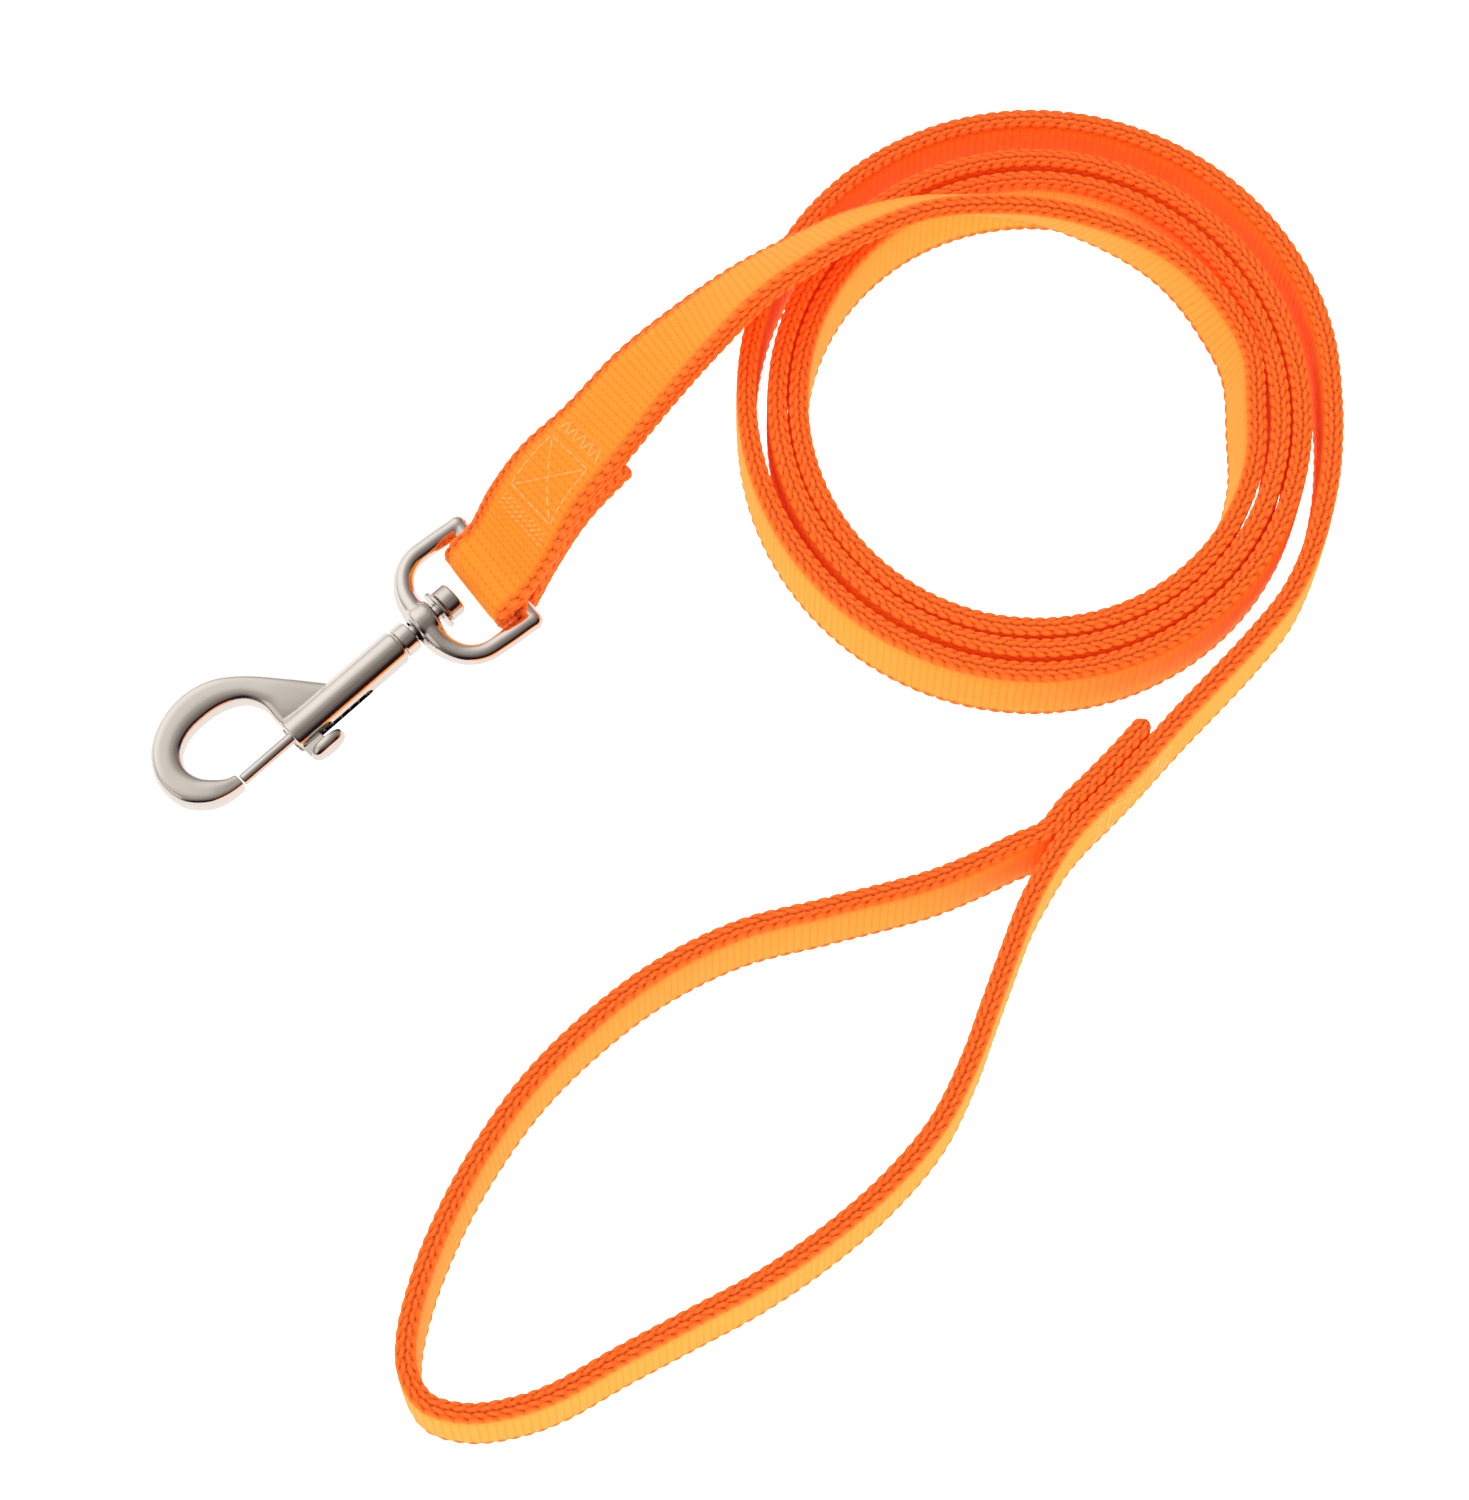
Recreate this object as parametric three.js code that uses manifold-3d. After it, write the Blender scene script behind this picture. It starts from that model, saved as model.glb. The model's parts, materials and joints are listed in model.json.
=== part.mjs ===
// Training leash: one strip of thick woven webbing with a hand loop sewn at one end and a swivel
// bolt snap sewn in at the other, lying on a table with its middle wound in three turns.
// Millimetres, +Z up. The origin is on the table, under the middle of the whole leash.
import * as THREE from "three";
import { mergeVertices } from "three/addons/utils/BufferGeometryUtils.js";
import Module from "manifold-3d";

const wasm = await Module();
wasm.setup();

// ---------------------------------------------------------------- driving dimensions
const WEBBING_WIDTH = 20;
const WEBBING_THICKNESS = 4;
const WEBBING_EDGE_ROUND = 1.1; // how far the woven edge is rounded off
const JOIN_GAP = 0.3; // between pieces that touch on the real leash

const CROSSBAR_RADIUS = 2.1;
const EYE_WIRE_RADIUS = 2.1;
const EYE_SIDE_CLEARANCE = 1.1; // webbing edge to the eye's side bar
const EYE_LENGTH = 20.7; // boss face to crossbar centre
const EYE_BOSS_RADIUS = 4.6;
const EYE_BOSS_LENGTH = 5.5;
const EYE_HEADING = 37; // degrees from +X
const EYE_YAW_PLAY = 0.9; // gap between collar and boss that lets the eye sit askew

const BARREL_RADIUS = 3.85;
const BARREL_LENGTH = 32.8; // collar face to mouth
const COLLAR_RADIUS = 3.5;
const COLLAR_LENGTH = 3.1;
const BARREL_HEADING = 43;
const BORE_RADIUS = 2.3;
const BORE_BOTTOM_WALL = 9; // from the collar face to the end of the bore
const SLOT_LENGTH = 19.1; // from the mouth
const SLOT_CLEARANCE = 0.25; // each side of the thumb stud's stem
const HOOK_REACH = 26; // barrel mouth to the far side of the bow
const HOOK_THICKNESS = 6.4;
const HOOK_ROUNDING = 2.3;

const PIN_RADIUS = 1.7;
const PIN_SEAT_DEPTH = 6.1;
const PIN_HEAD_RADIUS = 3.7;
const PIN_HEAD_LENGTH = 3.5;
const PIN_HOLE_CLEARANCE = 0.6; // loose hole in the boss
const WASHER_RADIUS = 4.45;
const WASHER_THICKNESS = 0.7;

const BOLT_ROD_RADIUS = 1.3;
const BOLT_PLUG_CLEARANCE = 0.25;
const BOLT_PLUG_LENGTH = 5;
const BOLT_TIP_GAP = 0.4; // rod tip to hook nose
const STUD_STEM_LENGTH = 4.8;
const STUD_STEM_THICKNESS = 1.9;
const STUD_HEAD_LENGTH = 8.5;
const STUD_HEAD_WIDTH = 6.2;
const STUD_HEAD_HEIGHT = 2.7;
const STUD_HEAD_STANDOFF = 1.4; // barrel surface to the underside of the head
const SPRING_WIRE_RADIUS = 0.25;
const SPRING_TURNS = 8;
const SPRING_BORE_CLEARANCE = 0.3;

const THREAD_RADIUS = 0.22;
// Seams, along the webbing from their first sewn row and across it from its middle.
const HOOK_SEAM = {
  boxFrom: 5.2, boxTo: 18.9, boxHalfWidth: 6, innerTack: 1.4, outerTack: 22.4, tackHalfWidth: 6.4,
};
const HANDLE_SEAM = {
  boxFrom: 11.5, boxTo: 25.5, boxHalfWidth: 6.5, innerTack: 8.6, outerTack: 28.6, tackHalfWidth: 6.6,
};
const TACK_DEPTH = 2.6;
const HOOK_OUTER_TACK_DEPTH = 3.2;
const TACK_PITCH = 1.3;
const CROSS_INSET = 1; // how far inside the box's corners its cross starts

// ---------------------------------------------------------------- solids
const toRadians = THREE.MathUtils.degToRad;

function solidFrom(geometry) {
  const bare = geometry.index ? geometry.toNonIndexed() : geometry.clone();
  bare.deleteAttribute("normal");
  bare.deleteAttribute("uv");
  const merged = mergeVertices(bare, 1e-4);
  return new wasm.Manifold(
    new wasm.Mesh({
      numProp: 3,
      vertProperties: new Float32Array(merged.attributes.position.array),
      triVerts: new Uint32Array(merged.index.array),
    }),
  );
}

function geometryFrom(solid) {
  const mesh = solid.getMesh();
  const geometry = new THREE.BufferGeometry();
  geometry.setAttribute("position", new THREE.BufferAttribute(mesh.vertProperties, 3));
  geometry.setIndex(new THREE.BufferAttribute(mesh.triVerts, 1));
  return geometry.toNonIndexed();
}

function union(...geometries) {
  return geometries.map(solidFrom).reduce((whole, piece) => whole.add(piece));
}

function piece(name, geometry, material) {
  const flat = geometry.index ? geometry.toNonIndexed() : geometry;
  flat.computeVertexNormals();
  const mesh = new THREE.Mesh(flat, material());
  mesh.name = name;
  return mesh;
}

// A solid of revolution about the X axis from [x, radius] pairs that start and end on the axis.
function turnedAboutX(profile, segments) {
  const points = profile.map(([x, radius]) => new THREE.Vector2(radius, x));
  const lathe = new THREE.LatheGeometry(points, segments);
  return lathe.rotateZ(-Math.PI / 2).rotateX(Math.PI);
}

function rodAlongX(radius, from, to, segments) {
  return turnedAboutX([[from, 0], [from, radius], [to, radius], [to, 0]], segments);
}

function circle(radius, sides) {
  const outline = new THREE.Shape();
  for (let i = 0; i < sides; i += 1) {
    const angle = (i / sides) * 2 * Math.PI;
    const x = radius * Math.cos(angle);
    const y = radius * Math.sin(angle);
    if (i === 0) outline.moveTo(x, y);
    else outline.lineTo(x, y);
  }
  return outline;
}

// ---------------------------------------------------------------- materials
const webbingMaterial = () =>
  new THREE.MeshStandardMaterial({ color: 0xff7a1c, roughness: 0.85, metalness: 0 });
const threadMaterial = () =>
  new THREE.MeshStandardMaterial({ color: 0xf5a35a, roughness: 0.7, metalness: 0 });
const nickelMaterial = () =>
  new THREE.MeshStandardMaterial({ color: 0xcfc6bb, roughness: 0.2, metalness: 1 });
const steelMaterial = () =>
  new THREE.MeshStandardMaterial({ color: 0xb5b1ab, roughness: 0.3, metalness: 1 });

// ---------------------------------------------------------------- the lead's route
// Where the crossbar lies: high enough for the webbing folded round it to rest on the table.
const FOLD_RADIUS = CROSSBAR_RADIUS + JOIN_GAP + WEBBING_THICKNESS / 2;
const CROSSBAR_CENTRE = new THREE.Vector3(-52.6, 39.6, FOLD_RADIUS + WEBBING_THICKNESS / 2);
const UP = new THREE.Vector3(0, 0, 1);

// Hook end of the lead: x, y of its centreline, its height in webbing widths, how far its right
// edge is raised, in degrees from flat, and how far its weave is skewed so that the fold lies
// square to the eye.
const HOOK_RUN = [
  [-47.6, 48.4, 0.46, 2, 18],
  [-41.1, 58.8, 0.52, 10, 10],
  [-32.1, 67.9, 0.645, 19, 3],
  [-21.4, 79.2, 0.85, 25, 0],
  [-8.5, 88.7, 1.22, 37, 0],
  [0.2, 94.5, 1.435, 45, 0],
  [11.1, 101.2, 1.505, 50, 0],
  [22.8, 107.3, 1.525, 53, 0],
  [36.1, 111.5, 1.52, 59, 0],
  [51.5, 112.6, 1.43, 65, 0],
  [64.2, 112.0, 1.28, 70, 0],
  [79.7, 107.6, 1.07, 77, 0],
  [89.6, 102.0, 0.89, 84, 0],
  [97.4, 93.7, 0.69, 91, 0],
  [102.2, 84.4, 0.56, 96, 0],
];

// The coil, clockwise from the right-hand side: its innermost radius, and how many thicknesses
// of webbing further out the centreline lies at each quarter turn.
const COIL_CENTRE = new THREE.Vector2(59.2, 72.1);
const COIL_CORE_RADIUS = 43.6;
const COIL_QUARTER_LAYERS = [
  0, 1.525, 1.425, 2, 1.55, 2.7, 2.525, 3.3, 2.675, 3.95, 4.1, 5.65, 4.275,
];
const UNWINDING_RUN = [[8.2, 4.33], [16.6, 4.515], [29.2, 4.97]]; // degrees past the coil, layers out
const COIL_STEPS_PER_QUARTER = 6;
const COIL_START_LEAN = 8; // degrees outwards, gone soon after the first quarter
const COIL_LEAN_QUARTERS = 1;

// Handle end of the lead: x, y of the centreline, standing on edge. The hand loop starts at the
// sewn seam and comes back to it, and its tab lies against the seam's first stretch.
const LEAD_OUT_RUN = [[109.4, 30.1], [102.2, 20.9], [94.6, 12.5], [87.4, 4.8]];
const SEAM_RUN = [[82.6, -0.6], [77.3, -6.7], [71.8, -12.6], [66.2, -18.3], [61.9, -23.6]];
const HAND_LOOP_RUN = [
  [58.0, -30.0], [54.7, -36.3], [50.3, -47.7], [46.6, -57.8], [42.9, -67.9], [36.4, -81.1],
  [26.6, -93.0], [15.0, -103.3], [1.6, -112.7], [-11.8, -120.1], [-25.0, -127.3],
  [-36.8, -134.1], [-44.3, -136.9], [-54.0, -138.3], [-61.8, -136.1], [-65.3, -130.4],
  [-65.8, -124.0], [-63.5, -112.7], [-58.9, -100.0], [-52.4, -87.1], [-43.0, -73.0],
  [-31.5, -60.8], [-17.9, -50.0], [-2.2, -41.9], [15.5, -37.1], [35.3, -31.6], [44.9, -27.6],
  [52.2, -23.9],
];

// Width direction of the webbing from the roll of its right edge, sheared by its skew.
function widthDirection(tangent, rollDegrees, skewDegrees) {
  const side = new THREE.Vector3().crossVectors(tangent, UP).normalize();
  const lift = new THREE.Vector3().crossVectors(side, tangent).normalize();
  const roll = toRadians(rollDegrees);
  return side
    .multiplyScalar(Math.cos(roll))
    .addScaledVector(lift, Math.sin(roll))
    .addScaledVector(tangent, -Math.tan(toRadians(skewDegrees)));
}

function withWidths(rows) {
  const centres = rows.map(([x, y, z]) => new THREE.Vector3(x, y, z));
  return rows.map(([, , , roll, skew], i) => {
    const before = centres[Math.max(i - 1, 0)];
    const after = centres[Math.min(i + 1, centres.length - 1)];
    const tangent = new THREE.Vector3().subVectors(after, before).normalize();
    return { centre: centres[i], width: widthDirection(tangent, roll, skew) };
  });
}

function coilPoint(degrees, layers) {
  const radius = COIL_CORE_RADIUS + layers * WEBBING_THICKNESS;
  const angle = -toRadians(degrees);
  return [COIL_CENTRE.x + radius * Math.cos(angle), COIL_CENTRE.y + radius * Math.sin(angle)];
}

function coilRows() {
  const ends = COIL_QUARTER_LAYERS;
  const quarters = ends.length - 1;
  const padded = [2 * ends[0] - ends[1], ...ends, 2 * ends[quarters] - ends[quarters - 1]];
  const layersAt = (turn) => {
    const quarter = Math.min(Math.floor(turn), quarters - 1);
    const [a, b, c, d] = padded.slice(quarter, quarter + 4);
    const u = turn - quarter;
    const cubic = (3 * (b - c) + d - a) * u * u * u + (2 * a - 5 * b + 4 * c - d) * u * u;
    return 0.5 * (2 * b + (c - a) * u + cubic);
  };
  const rows = [];
  for (let step = 0; step <= quarters * COIL_STEPS_PER_QUARTER; step += 1) {
    const turn = step / COIL_STEPS_PER_QUARTER;
    const lean = COIL_START_LEAN * Math.max(0, 1 - turn / COIL_LEAN_QUARTERS);
    const flatOfEdge = WEBBING_THICKNESS / 2 - WEBBING_EDGE_ROUND;
    const halfWidth = WEBBING_WIDTH / 2;
    rows.push([
      ...coilPoint(90 * turn, layersAt(turn)),
      halfWidth * Math.cos(toRadians(lean)) + flatOfEdge * Math.sin(toRadians(lean)),
      90 + lean,
      0,
    ]);
  }
  return rows;
}

// The tab: the seam's run backwards, one layer further towards the inside of the hand loop.
const LAYER_SPACING = WEBBING_THICKNESS + JOIN_GAP;

function tabRun() {
  return SEAM_RUN.map(([x, y], i) => {
    const before = SEAM_RUN[Math.max(i - 1, 0)];
    const after = SEAM_RUN[Math.min(i + 1, SEAM_RUN.length - 1)];
    const ahead = new THREE.Vector2(after[0] - before[0], after[1] - before[1]).normalize();
    return [x + ahead.y * LAYER_SPACING, y - ahead.x * LAYER_SPACING];
  }).reverse();
}

// The sewn tail lies under the first stretch of the lead, and the fold joins the two.
const SEWN_PAIRS = 3;
const FOLD_ANGLES = [90, 130, 180, 230, 270]; // round the crossbar, from the top layer
const FOLD_SHIFT = 0.4; // how far the fold sits to the right of the eye's middle

function hookEnd(run) {
  const eye = toRadians(EYE_HEADING);
  const away = new THREE.Vector3(Math.cos(eye), Math.sin(eye), 0);
  const across = new THREE.Vector3(Math.sin(eye), -Math.cos(eye), 0);
  const fold = FOLD_ANGLES.map((degrees) => ({
    centre: CROSSBAR_CENTRE.clone()
      .addScaledVector(across, FOLD_SHIFT)
      .addScaledVector(away, FOLD_RADIUS * Math.cos(toRadians(degrees)))
      .addScaledVector(UP, FOLD_RADIUS * Math.sin(toRadians(degrees))),
    width: across,
  }));
  const tail = run.slice(0, SEWN_PAIRS).map(({ centre, width }, i) => {
    const ahead = new THREE.Vector3().subVectors(run[i + 1].centre, centre).normalize();
    const normal = new THREE.Vector3().crossVectors(width, ahead).normalize();
    return { centre: centre.clone().addScaledVector(normal, -LAYER_SPACING), width };
  });
  return [...tail.reverse(), ...fold.reverse()];
}

const onEdge = ([x, y]) => [x, y, WEBBING_WIDTH / 2, 90, 0];
const hookRows = HOOK_RUN.map(([x, y, widths, roll, skew]) => [
  x, y, widths * WEBBING_WIDTH, roll, skew,
]);
const hookRun = withWidths([...hookRows, ...coilRows().slice(0, 2)]).slice(0, HOOK_RUN.length);
const unwinding = UNWINDING_RUN.map(([degrees, layers]) => coilPoint(degrees, layers));
const leadOut = [...unwinding, ...LEAD_OUT_RUN];
const handleRun = [...leadOut, ...SEAM_RUN, ...HAND_LOOP_RUN, ...tabRun()];
const laterRows = withWidths([...coilRows(), ...handleRun.map(onEdge)]);
const tailAndFold = hookEnd(hookRun);
const ROUTE = [...tailAndFold, ...hookRun, ...laterRows];

class Lead {
  constructor(rows) {
    const divisionsPerRow = 12;
    this.centre = new THREE.CatmullRomCurve3(rows.map((row) => row.centre), false, "centripetal");
    this.width = new THREE.CatmullRomCurve3(rows.map((row) => row.width), false, "catmullrom");
    this.centre.arcLengthDivisions = divisionsPerRow * (rows.length - 1);
    const lengths = this.centre.getLengths();
    this.rowStation = rows.map((row, i) => lengths[i * divisionsPerRow]);
    this.length = lengths.at(-1);
  }

  // Centre, tangent, width and face normal at a distance along the webbing.
  at(station) {
    const u = THREE.MathUtils.clamp(station / this.length, 0, 1);
    const t = this.centre.getUtoTmapping(u);
    const tangent = this.centre.getTangent(t);
    const width = this.width.getPoint(t);
    const normal = new THREE.Vector3().crossVectors(width, tangent).normalize();
    return { centre: this.centre.getPoint(t), tangent, width, normal };
  }
}

// A stretch of the lead as an extrusion path that keeps the webbing's own width direction.
class Stretch extends THREE.Curve {
  constructor(lead, from, to) {
    super();
    this.lead = lead;
    this.from = from;
    this.to = to;
  }

  getPoint(t, target = new THREE.Vector3()) {
    return target.copy(this.lead.at(this.from + (this.to - this.from) * t).centre);
  }

  getSpacedPoints(divisions) {
    return Array.from({ length: divisions + 1 }, (_, i) => this.getPoint(i / divisions));
  }

  computeFrenetFrames(segments) {
    const frames = { tangents: [], normals: [], binormals: [] };
    for (let i = 0; i <= segments; i += 1) {
      const frame = this.lead.at(this.from + ((this.to - this.from) * i) / segments);
      frames.tangents.push(frame.tangent);
      frames.normals.push(frame.normal);
      frames.binormals.push(frame.width);
    }
    return frames;
  }
}

const lead = new Lead(ROUTE);
const coilFirst = tailAndFold.length + hookRun.length;
const rowsPerTurn = 4 * COIL_STEPS_PER_QUARTER;
const seamFirst = coilFirst + coilRows().length + leadOut.length - 1;

function webbingSection() {
  const t = WEBBING_THICKNESS / 2;
  const w = WEBBING_WIDTH / 2;
  const r = WEBBING_EDGE_ROUND;
  return new THREE.Shape([
    new THREE.Vector2(t, -w + r),
    new THREE.Vector2(t, w - r),
    new THREE.Vector2(t - r, w),
    new THREE.Vector2(-t + r, w),
    new THREE.Vector2(-t, w - r),
    new THREE.Vector2(-t, -w + r),
    new THREE.Vector2(-t + r, -w),
    new THREE.Vector2(t - r, -w),
  ]);
}

function webbing(name, fromRow, toRow, stepLength) {
  const from = lead.rowStation[fromRow] + (fromRow > 0 ? JOIN_GAP / 2 : 0);
  const to = lead.rowStation[toRow] - (toRow < ROUTE.length - 1 ? JOIN_GAP / 2 : 0);
  const geometry = new THREE.ExtrudeGeometry(webbingSection(), {
    steps: Math.ceil((to - from) / stepLength),
    extrudePath: new Stretch(lead, from, to),
  });
  return piece(name, geometry, webbingMaterial);
}

// ---------------------------------------------------------------- sewing
// A point on the webbing's face: distance along the lead, distance across it, and which face.
function onFace(station, across, side) {
  const { centre, width, normal } = lead.at(station);
  const lift = side * (WEBBING_THICKNESS / 2 + JOIN_GAP + THREAD_RADIUS);
  return centre.clone().addScaledVector(width, across).addScaledVector(normal, lift);
}

function threadLine([from, to], side, steps) {
  const points = Array.from({ length: steps + 1 }, (_, k) => {
    const station = THREE.MathUtils.lerp(from[0], to[0], k / steps);
    return onFace(station, THREE.MathUtils.lerp(from[1], to[1], k / steps), side);
  });
  return new THREE.ExtrudeGeometry(circle(THREAD_RADIUS, 6), {
    steps: points.length - 1,
    extrudePath: new THREE.CatmullRomCurve3(points, false, "centripetal"),
  });
}

const OUTER_FACE = 1; // the face turned up at the hook

// Threads run on a little past where they meet, so that they cross.
function threads(name, ends, side, steps) {
  const lines = ends.map(([a, b]) => {
    const from = new THREE.Vector2(...a);
    const to = new THREE.Vector2(...b);
    const past = new THREE.Vector2().subVectors(to, from).setLength(THREAD_RADIUS);
    return threadLine([from.sub(past).toArray(), to.add(past).toArray()], side, steps);
  });
  return piece(name, geometryFrom(union(...lines)), threadMaterial);
}

// A rectangle of stitching with a cross sewn inside it.
function boxStitch(name, station, seam, side) {
  const from = station + seam.boxFrom;
  const to = station + seam.boxTo;
  const half = seam.boxHalfWidth;
  const crossing = half - CROSS_INSET;
  const ends = [
    [[from, -half], [to, -half]],
    [[from, half], [to, half]],
    [[from, -half], [from, half]],
    [[to, -half], [to, half]],
    [[from, -crossing], [to, crossing]],
    [[from, crossing], [to, -crossing]],
  ];
  return threads(name, ends, side, 5);
}

// A dense zigzag across the webbing that takes the load.
function barTack(name, station, halfWidth, depth, side) {
  const count = Math.round((2 * halfWidth) / TACK_PITCH);
  const corners = Array.from({ length: count + 1 }, (_, i) => {
    const offset = i % 2 === 0 ? -depth / 2 : depth / 2;
    return [station + offset, -halfWidth + (2 * halfWidth * i) / count];
  });
  return threads(name, corners.slice(1).map((corner, i) => [corners[i], corner]), side, 2);
}

function tackPair(seamName, station, seam, outerDepth, [inner, outer]) {
  const half = seam.tackHalfWidth;
  return [
    barTack(`${seamName}_${inner}_bar_tack`, station + seam.innerTack, half, TACK_DEPTH, OUTER_FACE),
    barTack(`${seamName}_${outer}_bar_tack`, station + seam.outerTack, half, outerDepth, OUTER_FACE),
  ];
}

// ---------------------------------------------------------------- snap: group frames
// In both groups +X runs from the hook towards the webbing and Z is square to the hook's plane.
const SNAP_REACH = EYE_LENGTH + BARREL_LENGTH + HOOK_REACH;
const SNAP_PITCH = Math.asin((CROSSBAR_CENTRE.z - HOOK_THICKNESS / 2 - 0.1) / SNAP_REACH);

function groupAlong(headingDegrees) {
  const group = new THREE.Group();
  group.rotation.set(0, -SNAP_PITCH, toRadians(headingDegrees), "ZYX");
  group.updateMatrixWorld(true);
  return group;
}

const eyeGroup = groupAlong(EYE_HEADING);
const eyeAxis = new THREE.Vector3(1, 0, 0).applyEuler(eyeGroup.rotation);
eyeGroup.position.copy(CROSSBAR_CENTRE).addScaledVector(eyeAxis, -EYE_LENGTH);

const snapGroup = groupAlong(BARREL_HEADING);
const barrelAxis = new THREE.Vector3(1, 0, 0).applyEuler(snapGroup.rotation);
const swivelCentre = eyeGroup.position.clone().addScaledVector(eyeAxis, EYE_BOSS_LENGTH / 2);
const collarToSwivel = EYE_YAW_PLAY + EYE_BOSS_LENGTH / 2;
snapGroup.position.copy(swivelCentre).addScaledVector(barrelAxis, -collarToSwivel);

// ---------------------------------------------------------------- swivel eye
const EYE_HALF_WIDTH = WEBBING_WIDTH / 2 + EYE_SIDE_CLEARANCE + EYE_WIRE_RADIUS;

function swivelEye() {
  const half = [[0, 0], [0.25, 0], [0.54, 0.035], [0.82, 0.16], [0.97, 0.34], [1, 0.58], [1, 1]];
  const base = EYE_BOSS_LENGTH / 2 - 0.2;
  const side = half.map(([share, reach]) => [
    base + (EYE_LENGTH - base) * reach,
    EYE_HALF_WIDTH * share,
  ]);
  const left = side.slice(1).reverse().map(([x, y]) => new THREE.Vector3(x, -y, 0));
  const right = side.map(([x, y]) => new THREE.Vector3(x, y, 0));
  const frame = new THREE.ExtrudeGeometry(circle(EYE_WIRE_RADIUS, 12), {
    steps: 36,
    extrudePath: new THREE.CatmullRomCurve3([...left, ...right], false, "centripetal"),
  });
  const crossbar = new THREE.CylinderGeometry(
    CROSSBAR_RADIUS, CROSSBAR_RADIUS, 2 * EYE_HALF_WIDTH, 16,
  ).translate(EYE_LENGTH, 0, 0);
  const corners = [-1, 1].map((end) =>
    new THREE.SphereGeometry(EYE_WIRE_RADIUS * 1.02, 12, 8)
      .translate(EYE_LENGTH, end * EYE_HALF_WIDTH, 0));
  const boss = turnedAboutX([
    [0, 0],
    [0, EYE_BOSS_RADIUS - 0.8],
    [0.8, EYE_BOSS_RADIUS],
    [EYE_BOSS_LENGTH - 0.8, EYE_BOSS_RADIUS],
    [EYE_BOSS_LENGTH, EYE_BOSS_RADIUS - 0.8],
    [EYE_BOSS_LENGTH, 0],
  ], 24);
  const hole = rodAlongX(PIN_RADIUS + PIN_HOLE_CLEARANCE, -8, 8, 20)
    .rotateZ(toRadians(BARREL_HEADING - EYE_HEADING))
    .translate(EYE_BOSS_LENGTH / 2, 0, 0);
  const solid = union(frame, crossbar, ...corners, boss).subtract(solidFrom(hole));
  return piece("swivel_eye", geometryFrom(solid), nickelMaterial);
}

// ---------------------------------------------------------------- snap body
const MOUTH = -BARREL_LENGTH;
const NOSE_END = MOUTH - 13.5; // face of the hook's nose that the bolt closes against

function hookOutline() {
  const outline = new THREE.Shape();
  outline.moveTo(-19, 0);
  outline.lineTo(-19, 3.2);
  outline.splineThru([
    new THREE.Vector2(-24.9, 9.8),
    new THREE.Vector2(-30.9, 16.3),
    new THREE.Vector2(-36.5, 20.4),
    new THREE.Vector2(-43.2, 21.9),
    new THREE.Vector2(-50.6, 20.4),
    new THREE.Vector2(-56.2, 16.4),
    new THREE.Vector2(-59, 10.6),
    new THREE.Vector2(-58.3, 4.2),
    new THREE.Vector2(-54.4, 0),
    new THREE.Vector2(NOSE_END, -1.7),
  ]);
  outline.lineTo(NOSE_END, 1.7);
  outline.splineThru([
    new THREE.Vector2(-49.4, 3.3),
    new THREE.Vector2(-51.9, 6),
    new THREE.Vector2(-52.6, 9.3),
    new THREE.Vector2(-50.9, 12.5),
    new THREE.Vector2(-46.6, 14.4),
    new THREE.Vector2(-39.8, 14.4),
    new THREE.Vector2(-34.6, 12.1),
    new THREE.Vector2(-32.5, 8.4),
    new THREE.Vector2(MOUTH, 2.6),
  ]);
  outline.lineTo(MOUTH, 0);
  return outline;
}

function snapBody() {
  const hook = new THREE.ExtrudeGeometry(hookOutline(), {
    depth: HOOK_THICKNESS - 2 * HOOK_ROUNDING,
    curveSegments: 3,
    bevelEnabled: true,
    bevelThickness: HOOK_ROUNDING,
    bevelSize: HOOK_ROUNDING * 0.62,
    bevelOffset: -HOOK_ROUNDING * 0.62,
    bevelSegments: 3,
  }).translate(0, 0, -HOOK_THICKNESS / 2 + HOOK_ROUNDING);
  const barrel = turnedAboutX([
    [MOUTH, 0],
    [MOUTH, BARREL_RADIUS - 0.3],
    [MOUTH + 0.3, BARREL_RADIUS],
    [-COLLAR_LENGTH - 0.9, BARREL_RADIUS],
    [-COLLAR_LENGTH - 0.3, BARREL_RADIUS - 0.4],
    [-COLLAR_LENGTH, COLLAR_RADIUS - 0.5],
    [-COLLAR_LENGTH + 0.4, COLLAR_RADIUS],
    [-0.4, COLLAR_RADIUS],
    [0, COLLAR_RADIUS - 0.4],
    [0, 0],
  ], 28);
  const bore = rodAlongX(BORE_RADIUS, MOUTH - 1, -BORE_BOTTOM_WALL, 20);
  const pinSeat = rodAlongX(PIN_RADIUS + JOIN_GAP, -PIN_SEAT_DEPTH - JOIN_GAP, 1, 16);
  const slotWidth = STUD_STEM_THICKNESS + 2 * SLOT_CLEARANCE;
  const slot = new THREE.BoxGeometry(SLOT_LENGTH + 1, BARREL_RADIUS + 2, slotWidth)
    .translate(MOUTH + (SLOT_LENGTH - 1) / 2, -(BARREL_RADIUS + 2) / 2, 0);
  const solid = union(hook, barrel)
    .subtract(solidFrom(bore))
    .subtract(solidFrom(pinSeat))
    .subtract(solidFrom(slot));
  return piece("snap_body", geometryFrom(solid), nickelMaterial);
}

// ---------------------------------------------------------------- swivel pin and washer
const WASHER_FACE = 2 * EYE_YAW_PLAY + EYE_BOSS_LENGTH + 0.1;
const PIN_HEAD_FACE = WASHER_FACE + WASHER_THICKNESS + JOIN_GAP;

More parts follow.
